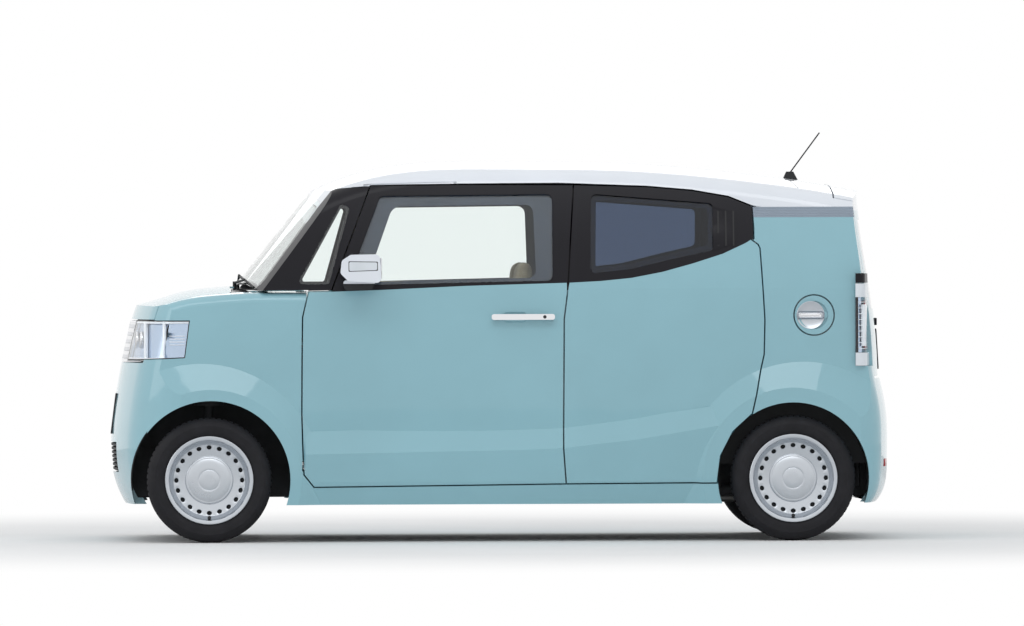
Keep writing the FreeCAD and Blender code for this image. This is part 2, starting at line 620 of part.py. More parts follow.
    inner_low, inner_high = body_side(DOOR_THICK), body_side(FRAME_THICK)
    arch = arch_cutter(REAR_AXLE, ARCH_REAR + 0.5, 500, WAIST - DOOR_THICK + 1)
    pane_zone = body_side(GLASS_INSET).cut(body_side(GLASS_INSET + GLASS))
    slot_zone = body_side(GLASS_INSET - FIT).cut(body_side(GLASS_INSET + GLASS + FIT))
    for name, low, top, opening in (("front", front_low, front_top, FRONT_OPENING),
                                    ("rear", rear_low, rear_top, REAR_OPENING)):
        panel = cabin.common(low).cut(inner_low).cut(arch)
        if name == "front":
            panel = joined([panel.cut(handle_cup())] + [arm for barrels, arm, hinge_pocket in front_hinges])
        else:
            for barrels, arm, hinge_pocket in rear_hinges:
                panel = panel.cut(hinge_pocket).fuse(barrels)
        surround = cabin.common(top).cut(inner_high)
        surround = surround.cut(side_prism(opening, 400, 900, 25))
        edge = offset(opening, [-GLASS_LAP] * len(opening))
        slot = slot_zone.common(side_prism(offset(opening, [-GLASS_LAP - FIT] * len(opening)), 400, 900, 25))
        surround, panel = surround.cut(slot), panel.cut(slot)
        pane = pane_zone.common(side_prism(edge, 400, 900, 25))
        save(name + "_door_left", panel)
        save(name + "_door_right", mirrored(panel))
        save(name + "_door_frame_left", surround)
        save(name + "_door_frame_right", mirrored(surround))
        save(name + "_door_glass_left", pane)
        save(name + "_door_glass_right", mirrored(pane))
    return shell


# ends of its middle line, height and radius
HANDLE_CUP = (REAR_AXLE + 1166, REAR_AXLE + 1232, 969.0, 27.0)


def handle_cup():
    """Hollow for the fingers behind the front door's handle."""
    x0, x1, z, radius = HANDLE_CUP
    y = WAIST + radius - 19
    cup = rod(radius, (x0, y, z), (x1, y, z))
    for x in (x0, x1):
        cup = cup.fuse(Part.makeSphere(radius, Vector(x, y, z)))
    return cup


QUARTER_OPENING = from_front([(-397, 1122), (-512, 1122), (-600, 1440), (-576, 1448)])
FUEL_LID = (REAR_AXLE - 93.5, 973.0, 87.0)
LID_THICK = 14.0
LID_DISH = 60.0               # radius of the hollow round its grip
LID_HINGE = (FUEL_LID[0] + 110.0, 680.0, FUEL_LID[1])
ROOF_HINGE = (REAR_AXLE - 162.5, 150.0, 1535.0)


def side_prism_disc(x, z, radius):
    return rod(radius, (x, 400, z), (x, 900, z))


FRONT_OPENING = from_rear([(1035.5, 1126), (1924, 1108), (1777, 1494), (1035.5, 1499)])
REAR_OPENING = from_rear([(873, 1156), (695, 1174), (497, 1222), (338, 1255), (338, 1457), (867, 1500)])


LAMP_TAIL_LINE = [(58, 753), (66, 1153)]
LAMP_CORNER, LAMP_HALF, LAMP_THICK = 36.0, HALF - 32, 40.0


def tail_lamp_block(inset=0.0):
    """The tail lamps' outer face, which stands out from the corner of the body."""
    sections = [end_wire(-TAIL - s - inset, z, TAIL_RADIUS, LAMP_CORNER, LAMP_HALF - inset, -1200, -1)
                for s, z in LAMP_TAIL_LINE]
    return Part.makeLoft(sections, True, False)


def rear_bumper_region(grow=0.0):
    pts = REAR_BUMPER_LINE + from_rear([(-120, 100), (-700, 100), (-700, 750)])
    return side_prism(offset(pts, [-grow] * len(pts)), 0, 900)


# ---------------------------------------------------------------- front end
def build_front(front, rear):
    room = body_side(FENDER_THICK).common(nose_block(60)).common(bonnet_block(BONNET_THICK))
    shell = front.cut(room.common(box(700, BEYOND, -800, 800, 0, 1200)))
    left = shell.common(box(700, BEYOND, 0, 800, 0, 1200))
    low, top = front_door_plug(SHUT_GAP)
    head_lamp = lamp_plugs()[0]
    lamp_hole = lamp_plugs(FIT)[0]
    arch = arch_cutter(ARCH_CENTRE_FRONT, ARCH_FRONT, 380, WAIST - FENDER_THICK + 1)
    bumper_pts = BUMPER_LINE + from_front([(120, 100), (700, 100), (700, 776)])
    bumper = side_prism(bumper_pts, 0, 900).fuse(box(FRONT_AXLE + 200, BEYOND, 0, 600, 0, LAMP_BOTTOM - 2))

    def bonnet_zone(grow):
        return box(BONNET_BACK - grow, BEYOND, -1, BONNET_HALF + grow, BONNET_FRONT - grow, 1200)
    arm = hinge(BONNET_HINGE, -X, Z, 0.0, 30.0, (0, 16, 0))[1]
    lid = shell.common(box(BONNET_BACK, BEYOND, -BONNET_HALF, BONNET_HALF, BONNET_FRONT, 1200))
    save("bonnet", joined([lid, arm, mirrored(arm)]))
    save("headlamps", both(left.common(head_lamp)))
    grille_zone = box(FRONT_AXLE + 200, BEYOND, 0, LAMP_INNER - FIT, LAMP_BOTTOM, BONNET_FRONT - SHUT_GAP)
    grille = left.common(grille_zone)
    bars = joined([box(FRONT_AXLE + 140, BEYOND, -1, LAMP_INNER - 20, z, z + 17) for z in (792, 825, 858, 891,
                                                                                           924)])
    save("grille", joined([grille.cut(bars), mirrored(grille.cut(bars))]))
    mouth = box(FRONT_AXLE + 140, BEYOND, -1, *MOUTH)
    nose = left.common(bumper).cut(lamp_hole).cut(arch).cut(grille_zone).cut(mouth)
    save("front_bumper", joined([nose, mirrored(nose)]))
    fender = left.cut(bumper).cut(bonnet_zone(SHUT_GAP)).cut(lamp_hole).cut(arch).cut(low).cut(top).cut(grille_zone)
    fender = fender.common(box(FRONT_AXLE - 422, BEYOND, BONNET_HALF - 6, 900, 0, 1200))
    fender = fender.cut(box(0, FRONT_AXLE - 200, 0, 900, 1088, 1200))
    for fixed, arm, hinge_pocket in door_hinges(X, *FRONT_HINGES):
        fender = fender.cut(hinge_pocket).cut(hinge_pocket.translated(Vector(0, -30, 0)))
    save("front_fenders", both(fender))

    skin = rear.cut(body_side(50).common(tail_block(60, BUMPER_TAIL)))
    half = skin.common(rear_bumper_region()).cut(arch_cutter(REAR_AXLE, ARCH_REAR, 500, WAIST - 49))
    half = half.cut(lamp_plugs(FIT)[1])
    half = half.cut(box(-BEYOND, 0, -1, TAILGATE_HALF + SHUT_GAP + 4, TAILGATE_BOTTOM - SHUT_GAP - 2, 800))
    save("rear_bumper", joined([half, mirrored(half)]))


MOUTH = (330.0, 300.0, 430.0)            # half width, lower and upper edge of the air inlet
BUMPER_TAIL = [(60, 150), (3, 304), (0, 434), (13, 606), (32, 693), (40, 760)]


# ---------------------------------------------------------------- floor and what stands on it
APRON = 392.0                 # inner wall beside each front wheel
RAIL = (330.0, APRON)
STRUT_X, STRUT_Y = FRONT_AXLE, 535.0
STRUT_TOP = 820.0
LINER = 4.0
REAR_FLOOR = 480.0
TUB_INNER = 545.0             # inner face of the rear wheel wells


TIE_HOLE, TIE_PLATE = 14.0, 12.0
TIE_FRONT = (NOSE - 167.5, 361.0, 258.0)
TIE_REAR = (TAIL + 135.5, 300.0, 205.0)


def build_floor():
    sill_inner = body_side(DOOR_THICK + FIT)
    fender_inner = body_side(FENDER_THICK + FIT)
    wall = DASH_WALL - 44
    plate = box(REAR_AXLE + 367, wall + 25, -700, 700, FLOOR - 45, FLOOR)
    heel = box(REAR_AXLE + 307, REAR_AXLE + 367, -700, 700, FLOOR - 45, REAR_FLOOR)
    back = box(TAIL + 106, REAR_AXLE + 307, -700, 700, REAR_FLOOR - 40, REAR_FLOOR)
    tailwall = box(TAIL + 105, TAIL + 160, -500, 500, FLOOR - 20, TAILGATE_BOTTOM - 14)
    inside = joined([plate, heel, back]).common(sill_inner).common(tail_block(62)).common(tail_block(62,
                                                                                                     BUMPER_TAIL).fuse(
        box(-1600, 1000, -700, 700, 700, 1000)))
    for side in (1, -1):
        low, high = sorted((side * 438, side * 502))
        inside = inside.cut(box(REAR_AXLE + 290, REAR_AXLE + 432, low, high, 0, FLOOR - 6))
    well = rod(ARCH_REAR + 6, (REAR_AXLE, TUB_INNER - 6, WHEEL_RADIUS), (REAR_AXLE, 800, WHEEL_RADIUS))
    inside = inside.cut(well).cut(mirrored(well))
    inside = inside.fuse(tailwall.common(tail_block(62)).common(tail_block(62, BUMPER_TAIL)))
    front_well = rod(ARCH_FRONT + 5, (ARCH_CENTRE_FRONT, APRON + 8, WHEEL_RADIUS),
                     (ARCH_CENTRE_FRONT, 900, WHEEL_RADIUS))
    dash = box(wall, wall + 25, -700, 700, FLOOR - 45, 1030).common(fender_inner)
    shelf = box(wall, wall + 100, -640, 640, 1012, 1030)
    front = [dash.common(box(0, 2000, -700, 700, 0, 1030)), shelf.common(fender_inner)]
    for side in (1, -1):
        lo, hi = sorted((side * RAIL[0], side * RAIL[1]))
        front.append(box(wall + 20, NOSE - 130, lo, hi, 330, 400))
        lo, hi = sorted((side * APRON, side * (APRON + 8)))
        front.append(box(wall + 20, NOSE - 260, lo, hi, 330, STRUT_TOP + 12))
        lo, hi = sorted((side * APRON, side * 622))
        top = box(STRUT_X - 88, STRUT_X + 88, lo, hi, STRUT_TOP, STRUT_TOP + 12)
        tower = pipe(86, 80, (STRUT_X, side * STRUT_Y, 618), (STRUT_X, side * STRUT_Y, STRUT_TOP + 2))
        front += [top, tower]
    front.append(box(NOSE - 145, NOSE - 115, -440, 440, 320, 410))
    carrier = box(NOSE - 195, NOSE - 170, -385, 385, 300, 880)
    front.append(carrier.cut(box(0, 2000, -335, 335, 345, 830)))
    front.append(box(NOSE - 175, NOSE - 140, -60, 60, 330, 400))
    for (x, y, z), low, high in ((TIE_FRONT, (-30, -28), (30, 77)), (TIE_REAR, (-26, -25), (26, 40))):
        plate = box(x + low[0], x + high[0], y - TIE_PLATE / 2, y + TIE_PLATE / 2, z + low[1], z + high[1])
        front.append(plate.cut(rod(TIE_HOLE, (x, y - 20, z), (x, y + 20, z))))
    floor = joined([inside] + front)
    floor = floor.cut(front_well).cut(mirrored(front_well))
    hole = rod(30, (STRUT_X, STRUT_Y, STRUT_TOP - 5), (STRUT_X, STRUT_Y, STRUT_TOP + 20))
    floor = floor.cut(hole).cut(mirrored(hole))
    for fixed, arm, hinge_pocket in door_hinges(X, *FRONT_HINGES):
        floor = floor.cut(hinge_pocket).cut(mirrored(hinge_pocket)).fuse(fixed).fuse(mirrored(fixed))
    save("floor_pan", floor)

    front_ring = pipe(ARCH_FRONT + LINER, ARCH_FRONT, (ARCH_CENTRE_FRONT, APRON + 9, WHEEL_RADIUS),
                      (ARCH_CENTRE_FRONT, 668, WHEEL_RADIUS)).common(body_side(FENDER_THICK + FIT))
    front_ring = front_ring.common(box(0, 2000, 0, 900, 225, 900)).cut(
        rod(88, (STRUT_X, STRUT_Y, 400), (STRUT_X, STRUT_Y, 900)))
    front_ring = front_ring.cut(box(0, DASH_WALL - 18, 0, 900, 0, 900))
    rear_ring = pipe(ARCH_REAR + 5, ARCH_REAR + 1, (REAR_AXLE, TUB_INNER, WHEEL_RADIUS),
                     (REAR_AXLE, 700, WHEEL_RADIUS)).common(body_side(DOOR_THICK + FIT))
    disc = rod(ARCH_REAR + 5, (REAR_AXLE, TUB_INNER - 5, WHEEL_RADIUS), (REAR_AXLE, TUB_INNER, WHEEL_RADIUS))
    rear_ring = rear_ring.fuse(disc.common(box(-2000, 0, 0, 900, 330, 900))).common(box(-2000, 0, 0, 900, 215,
                                                                                        900))
    save("wheel_liners", both(Part.makeCompound([front_ring, rear_ring])))


BONNET_HINGE = (BONNET_BACK - 22.0, 200.0, 1099.0)
COWL_DROP = 14.0              # cowl below the line of the bonnet
COWL_BACK = 24.0              # step under the windscreen's edge, where the wipers park


def build_cowl():
    zone = box(BONNET_BACK - 190, BONNET_BACK - SHUT_GAP, -592, 592, 1031, 1100)
    cowl = zone.common(bonnet_block(COWL_DROP)).cut(screen_cylinder(COWL_BACK - FIT))
    fixed = hinge(BONNET_HINGE, -X, Z, 0.0, 30.0, (0, 16, 0))[0]
    save("cowl", joined([cowl, fixed, mirrored(fixed)]))


# steering axis: (y, z) at its foot, and its lean inwards
KING_FOOT, KING_LEAN = (610.0, 175.0), 75.0 / 645.0
BALL_LOW, BALL_HIGH, STUD = 150.0, 174.0, 8.0


def king_point(side, z):
    """Point of the steering axis at a height."""
    return (FRONT_AXLE, side * (KING_FOOT[0] - KING_LEAN * (z - KING_FOOT[1])), z)


def build_mechanics():
    save("engine", box(FRONT_AXLE - 180, FRONT_AXLE + 170, -280, 300, 260, 860))
    subframe = box(FRONT_AXLE - 220, FRONT_AXLE + 120, -325, 325, 205, 240)
    arms, struts = [], []
    for side in (1, -1):
        arms.append(rod(14, (FRONT_AXLE, side * 315, 222), (FRONT_AXLE, side * 575, 185)))
        arms.append(rod(12, (FRONT_AXLE - 190, side * 315, 222), (FRONT_AXLE - 10, side * 560, 187)))
        low, high = king_point(side, BALL_LOW), king_point(side, BALL_HIGH)
        arms.append(rod(10, (FRONT_AXLE, side * 570, 183),
                        (FRONT_AXLE, side * 600, (BALL_LOW + BALL_HIGH) / 2)))
        arms.append(rod(18, low, high))
        struts.append(rod(18, (STRUT_X, side * STRUT_Y, 430), (STRUT_X, side * STRUT_Y, STRUT_TOP)))
        struts.append(pipe(62, 50, (STRUT_X, side * STRUT_Y, 600), (STRUT_X, side * STRUT_Y, STRUT_TOP)).fuse(
            rod(66, (STRUT_X, side * STRUT_Y, 590), (STRUT_X, side * STRUT_Y, 600))))
    frame = joined([subframe] + arms)
    mounts = [box(FRONT_AXLE - 215, FRONT_AXLE - 185, s * 330 - 20, s * 330 + 20, 238, 330) for s in (1, -1)]
    mounts += [box(FRONT_AXLE + 85, FRONT_AXLE + 115, s * 330 - 20, s * 330 + 20, 238, 330) for s in (1, -1)]
    mounts += [box(x - 25, x + 25, y - 25, y + 25, 238, 260 - FIT) for x in (FRONT_AXLE - 120,
                                                                             FRONT_AXLE + 80)
               for y in (-200, 200)]
    sockets = [rod(STUD + 0.05, king_point(side, BALL_LOW - 5),
                   king_point(side, BALL_HIGH + 5)) for side in (1, -1)]
    save("front_suspension", joined([frame] + mounts).cut(sockets[0]).cut(sockets[1]))
    save("front_struts", Part.makeCompound([joined(struts[:2]), joined(struts[2:])]))
    beam = rod(38, (REAR_AXLE, -520, WHEEL_RADIUS), (REAR_AXLE, 520, WHEEL_RADIUS))
    pieces = [beam]
    for side in (1, -1):
        pieces.append(rod(AXLE_PIN, (REAR_AXLE, side * 500, WHEEL_RADIUS),
                          (REAR_AXLE, side * HUB_END, WHEEL_RADIUS)))
        pieces.append(rod(22, (REAR_AXLE, side * 470, WHEEL_RADIUS), (REAR_AXLE + 400, side * 470, 198)))
        pieces.append(rod(25, (REAR_AXLE + 400, side * 445, 198), (REAR_AXLE + 400, side * 495, 198)))
        pieces.append(pipe(48, 36, (REAR_AXLE - 90, side * 430, 300),
                           (REAR_AXLE - 90, side * 430, REAR_FLOOR - 40)))
        pieces.append(rod(52, (REAR_AXLE - 90, side * 430, 290), (REAR_AXLE - 90, side * 430, 302)))
        pieces.append(rod(16, (REAR_AXLE - 90, side * 430, 292), (REAR_AXLE, side * 430, WHEEL_RADIUS)))
    save("rear_suspension", joined(pieces))
    tank = box(REAR_AXLE + 440, REAR_AXLE + 840, -310, 310, 168, FLOOR - 45 - FIT)
    save("fuel_tank", tank)
    run, back, radius = 350, REAR_AXLE - 200, 60
    pipe_run = rod(20, (REAR_AXLE + BEYOND, run, EXHAUST_Z), (back, run, EXHAUST_Z))
    box_run = rod(radius, (back, run + 20, EXHAUST_Z + radius), (back, 90, EXHAUST_Z + radius))
    hangers = [box(x - 10, x + 10, run - 8, run + 8, EXHAUST_Z, FLOOR - 45 - FIT)
               for x in (REAR_AXLE + 300, REAR_AXLE + 1600)]
    save("exhaust", joined([pipe_run, box_run] + hangers))


EXHAUST_Z = 180.0


# ---------------------------------------------------------------- wheels
AXLE_PIN, HUB_BORE = 15.0, 15.05
HUB_END = 668.0
TYRE_SEAT = 180.0


def revolved(profile, axle, side):
    """Profile of (radius, distance out from the wheel's middle) turned about the axle line."""
    pts = [Vector(axle, side * (TRACK_HALF + y), WHEEL_RADIUS + r) for r, y in profile]
    face = Part.Face(Part.makePolygon(pts + pts[:1]))
    return face.revolve(Vector(axle, 0, WHEEL_RADIUS), Y, 360)


TYRE = [(TYRE_SEAT, -66), (TYRE_SEAT, 66), (198, 70), (222, 77.5), (245, 74), (262, 60), (270, 46),
        (270, -46), (262, -60),
        (245, -74), (222, -77.5), (198, -70)]
RIM = [(TYRE_SEAT - FIT, -66.8), (RIM_RADIUS, -70.8), (RIM_RADIUS, -74), (TYRE_SEAT - 7, -70),
       (TYRE_SEAT - 12, -40),
       (160, -20), (160, 20), (162, 36), (110, 26), (60, 10), (HUB_BORE, 10), (HUB_BORE, 22), (40, 22),
       (HUB_BORE + 26, 48),
       (101, 42), (104, 36), (152, 44), (156, 50), (168, 44), (TYRE_SEAT - 8, 70), (RIM_RADIUS, 74),
       (RIM_RADIUS, 70.8),
       (TYRE_SEAT - FIT, 66.8)]


def build_wheels():
    for name, axle in (("front", FRONT_AXLE), ("rear", REAR_AXLE)):
        for hand, side in (("left", 1), ("right", -1)):
            label = name + "_" + hand
            save("tyre_" + label, revolved(TYRE, axle, side))
            rim = revolved(RIM, axle, side)
            hub = pipe(48, HUB_BORE, (axle, side * (TRACK_HALF - 30), WHEEL_RADIUS),
                       (axle, side * (TRACK_HALF + 12), WHEEL_RADIUS))
            drum = pipe(95, HUB_BORE, (axle, side * (TRACK_HALF - 12), WHEEL_RADIUS),
                        (axle, side * TRACK_HALF, WHEEL_RADIUS))
            save("wheel_" + label, joined([rim, hub, drum]))
    for hand, side in (("left", 1), ("right", -1)):
        pin = rod(AXLE_PIN, (FRONT_AXLE, side * 590, WHEEL_RADIUS),
                  (FRONT_AXLE, side * HUB_END, WHEEL_RADIUS))
        lo, hi = sorted((side * 582, side * 612))
        upright = box(FRONT_AXLE - 26, FRONT_AXLE + 26, lo, hi, 216, 330)
        stud = rod(STUD, king_point(side, BALL_LOW), king_point(side, 230.0))
        save("knuckle_" + hand, joined([pin, upright, stud]))


# ---------------------------------------------------------------- cabin fittings
WHEEL_SIDE = -1               # steering wheel on the right


def build_interior():
    profile = [(600, 760), (640, 900), (720, 965), (840, 1000), (DASH_WALL - 44 - FIT, 1005),
               (DASH_WALL - 44 - FIT, 700), (760, 640),
               (640, 660)]
    dash = side_prism(profile, -612, 612)
    column = rod(24, COLUMN_END, (700, COLUMN_END[1], COLUMN_END[2] - (700 - COLUMN_END[0]) * COLUMN_FALL))
    way = Vector(-1, 0, COLUMN_FALL)
    way.normalize()
    shaft = Part.makeCylinder(SHAFT, 30, Vector(*COLUMN_END) - way * 4, way)
    save("dashboard", joined([dash.common(body_side(DOOR_THICK + 12)), column, shaft]))
    seats = []
    for side in (1, -1):
        cushion = box(-70, 420, side * 310 - 235, side * 310 + 235, 400, 540)
        back = side_prism([(-70, 470), (30, 470), (-60, 1010), (-150, 1010)], side * 310 - 225,
                          side * 310 + 225)
        head = side_prism([(-120, 1040), (-60, 1040), (-75, 1200), (-130, 1200)], side * 310 - 120,
                          side * 310 + 120)
        post = side_prism([(-115, 990), (-85, 990), (-85, 1060), (-115, 1060)], side * 310 - 60,
                          side * 310 + 60)
        base = box(-30, 360, side * 310 - 190, side * 310 + 190, FLOOR, 410)
        seats.append(joined([cushion, back, head, post, base]))
    save("front_seats", Part.makeCompound(seats))
    cushion = box(REAR_AXLE + 340, REAR_AXLE + 850, -520, 520, REAR_FLOOR + FIT, 570).fuse(
        box(REAR_AXLE + 367 + FIT, REAR_AXLE + 800, -480, 480, FLOOR + FIT, REAR_FLOOR + 20))
    back = side_prism([(REAR_AXLE + 345, 480), (REAR_AXLE + 440, 480), (REAR_AXLE + 330, 1010),
                       (REAR_AXLE + 240, 1010)],
                      -520, 520)
    heads = [side_prism([(REAR_AXLE + 255, 1000), (REAR_AXLE + 315, 1000), (REAR_AXLE + 300, 1140),
                         (REAR_AXLE + 245, 1140)],
                        s * 280 - 110, s * 280 + 110) for s in (1, -1)]
    save("rear_seats", joined([cushion, back] + heads))


SHAFT = 12.0
COLUMN_FALL = 0.42
COLUMN_END = (500.0, WHEEL_SIDE * 310.0, 915.0)


def build_steering():
    way = Vector(-1, 0, COLUMN_FALL)
    way.normalize()
    end = Vector(*COLUMN_END)
    centre = end + way * 22
    ring = Part.makeTorus(182, 14, centre, way)
    hub = Part.makeCylinder(45, 34, end + way * FIT, way)
    spokes = []
    for turn in (90, 210, 330):
        across = Vector(0, 1, 0)
        turned = FreeCAD.Rotation(way, turn).multVec(across)
        spokes.append(Part.makeCylinder(11, 182, centre, turned))
    bore = Part.makeCylinder(SHAFT + 0.05, 28, end, way)
    save("steering_wheel", joined([hub] + spokes + [ring]).cut(bore))


def build_trim():
    # mirrors on the front doors, with their stalks
    shell = side_prism([(FRONT_AXLE - 743, 1118), (FRONT_AXLE - 600, 1126), (FRONT_AXLE - 566, 1160),
                        (FRONT_AXLE - 572, 1215),
                        (FRONT_AXLE - 610, 1240), (FRONT_AXLE - 735, 1242)], 745, 905, 20)
    stalk = side_prism([(FRONT_AXLE - 700, 1088), (FRONT_AXLE - 590, 1086), (FRONT_AXLE - 575, 1130),
                        (FRONT_AXLE - 725, 1130)],
                       660, 820, 12).cut(body_side(-FIT))
    mirror = shell.fuse(stalk)
    save("mirror_left", mirror)
    save("mirror_right", mirrored(mirror))
    bar = side_prism([(REAR_AXLE + 1028, 957), (REAR_AXLE + 1301, 957), (REAR_AXLE + 1301, 982),
                      (REAR_AXLE + 1028, 982)],
                     WAIST + 14, WAIST + 30, 10)
    feet = [side_prism([(x, 960), (x + 30, 960), (x + 30, 979), (x, 979)], 690,
                       WAIST + 16).cut(body_side(-FIT))
            for x in (REAR_AXLE + 1034, REAR_AXLE + 1266)]
    handle = joined([bar] + feet)
    save("door_handle_left", handle)
    save("door_handle_right", mirrored(handle))
    base = side_prism([(REAR_AXLE - 62, 1560), (REAR_AXLE + 6, 1560), (REAR_AXLE - 12, 1598),
                       (REAR_AXLE - 42, 1598)], -20, 20)
    mast = rod(3, (REAR_AXLE - 26, 0, 1590), (REAR_AXLE - 158, 0, 1768))
    save("antenna", base.cut(roof_block(-FIT)).fuse(mast.cut(roof_block(-FIT))))
    save("wipers", Part.makeCompound([wiper(y, y + 455) for y in (-330, 150)]))


def on_screen(y, up, lift):
    """Point a little above the windscreen's face, at a distance up its slope."""
    angle = math.asin(y / SCREEN_RADIUS)
    radius = SCREEN_RADIUS + lift
    out = Vector(math.sin(SCREEN_SLOPE), 0, math.cos(SCREEN_SLOPE))
    rise = Vector(-math.cos(SCREEN_SLOPE), 0, math.sin(SCREEN_SLOPE))
    foot = Vector(SCREEN_FOOT[0], 0, SCREEN_FOOT[1])
    p = foot - out * SCREEN_RADIUS + out * radius * math.cos(angle) + Y * radius * math.sin(angle) + rise * up
    return (p.x, p.y, p.z)


def wiper(start, end):
    """Arm and blade of one wiper, parked at the foot of the screen."""
    middle = (start + end) / 2
    pieces = [rod(5, on_screen(middle - 210, 12, 10), on_screen(middle, 14, 10)),
              rod(5, on_screen(middle, 14, 10), on_screen(middle + 210, 12, 10)),
              rod(5, on_screen(start, -24, 12), on_screen(middle, 14, 14))]
    x, y, z = on_screen(start, -24, 12)
    seat = bonnet_block(COWL_DROP - FIT).common(box(x - 30, x + 30, y - 30, y + 30, z - 100, z + 100))
    post = rod(8, (x, y, z - 60), (x, y, z + 6)).cut(seat)
    return joined(pieces + [post])




if __name__ == "__main__":
    front_mass, cabin_mass, rear_mass = outer_masses()
    front_mass, cabin_mass = softened(front_mass, cabin_mass)
    build_cabin(cabin_mass)
    build_front(front_mass, rear_mass)
    build_floor()
    build_cowl()
    build_mechanics()
    build_wheels()
    build_interior()
    build_steering()
    build_trim()
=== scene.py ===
"""Finishes the packed kei car: paint, glass, lamps, wheels, seats and trim, in a plain studio."""
import json
import math

import bmesh
import bpy
from bpy.props import FloatProperty, FloatVectorProperty, IntProperty, PointerProperty
from mathutils import Matrix, Vector
from mathutils.bvhtree import BVHTree


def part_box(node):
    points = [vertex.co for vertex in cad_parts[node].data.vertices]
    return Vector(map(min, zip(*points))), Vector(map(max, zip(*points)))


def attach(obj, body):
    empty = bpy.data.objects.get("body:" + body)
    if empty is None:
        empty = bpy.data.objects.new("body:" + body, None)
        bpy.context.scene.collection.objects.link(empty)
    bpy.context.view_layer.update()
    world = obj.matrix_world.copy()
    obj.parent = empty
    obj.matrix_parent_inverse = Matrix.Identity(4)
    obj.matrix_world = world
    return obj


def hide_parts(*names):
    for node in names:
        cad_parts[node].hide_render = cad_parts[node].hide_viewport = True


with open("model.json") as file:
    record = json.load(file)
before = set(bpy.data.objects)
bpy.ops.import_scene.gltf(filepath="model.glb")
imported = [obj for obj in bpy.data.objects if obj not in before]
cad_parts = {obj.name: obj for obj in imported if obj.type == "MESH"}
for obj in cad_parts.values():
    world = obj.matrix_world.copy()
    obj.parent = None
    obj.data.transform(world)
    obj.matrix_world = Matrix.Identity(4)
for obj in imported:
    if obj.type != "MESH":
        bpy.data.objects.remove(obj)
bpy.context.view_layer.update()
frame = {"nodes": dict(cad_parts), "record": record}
NODES = frame["nodes"]
SHELL = "body_shell"
SIDES = (("left", 1), ("right", -1))
AXLES = ("front", "rear")
X_AXIS, Y_AXIS, Z_AXIS = Vector((1, 0, 0)), Vector((0, 1, 0)), Vector((0, 0, 1))
NEAR_MIDDLE = 0.007     # Y of the rays that read a skin's middle, clear of its seam at Y = 0

bl_info = {
    "name": "Kei car finish",
    "version": (1, 0, 0),
    "blender": (4, 5, 0),
    "location": "3D View > Sidebar > Kei car",
    "description": "Adds paint, glass, lamps, wheels, seats and trim to the packed kei car",
    "category": "Object",
}


# ---- finishes
def srgb(r, g, b):
    """Linear colour of an 8 bit display colour."""
    def lin(v):
        v /= 255
        return v / 12.92 if v <= 0.04045 else ((v + 0.055) / 1.055) ** 2.4
    return (lin(r), lin(g), lin(b), 1.0)


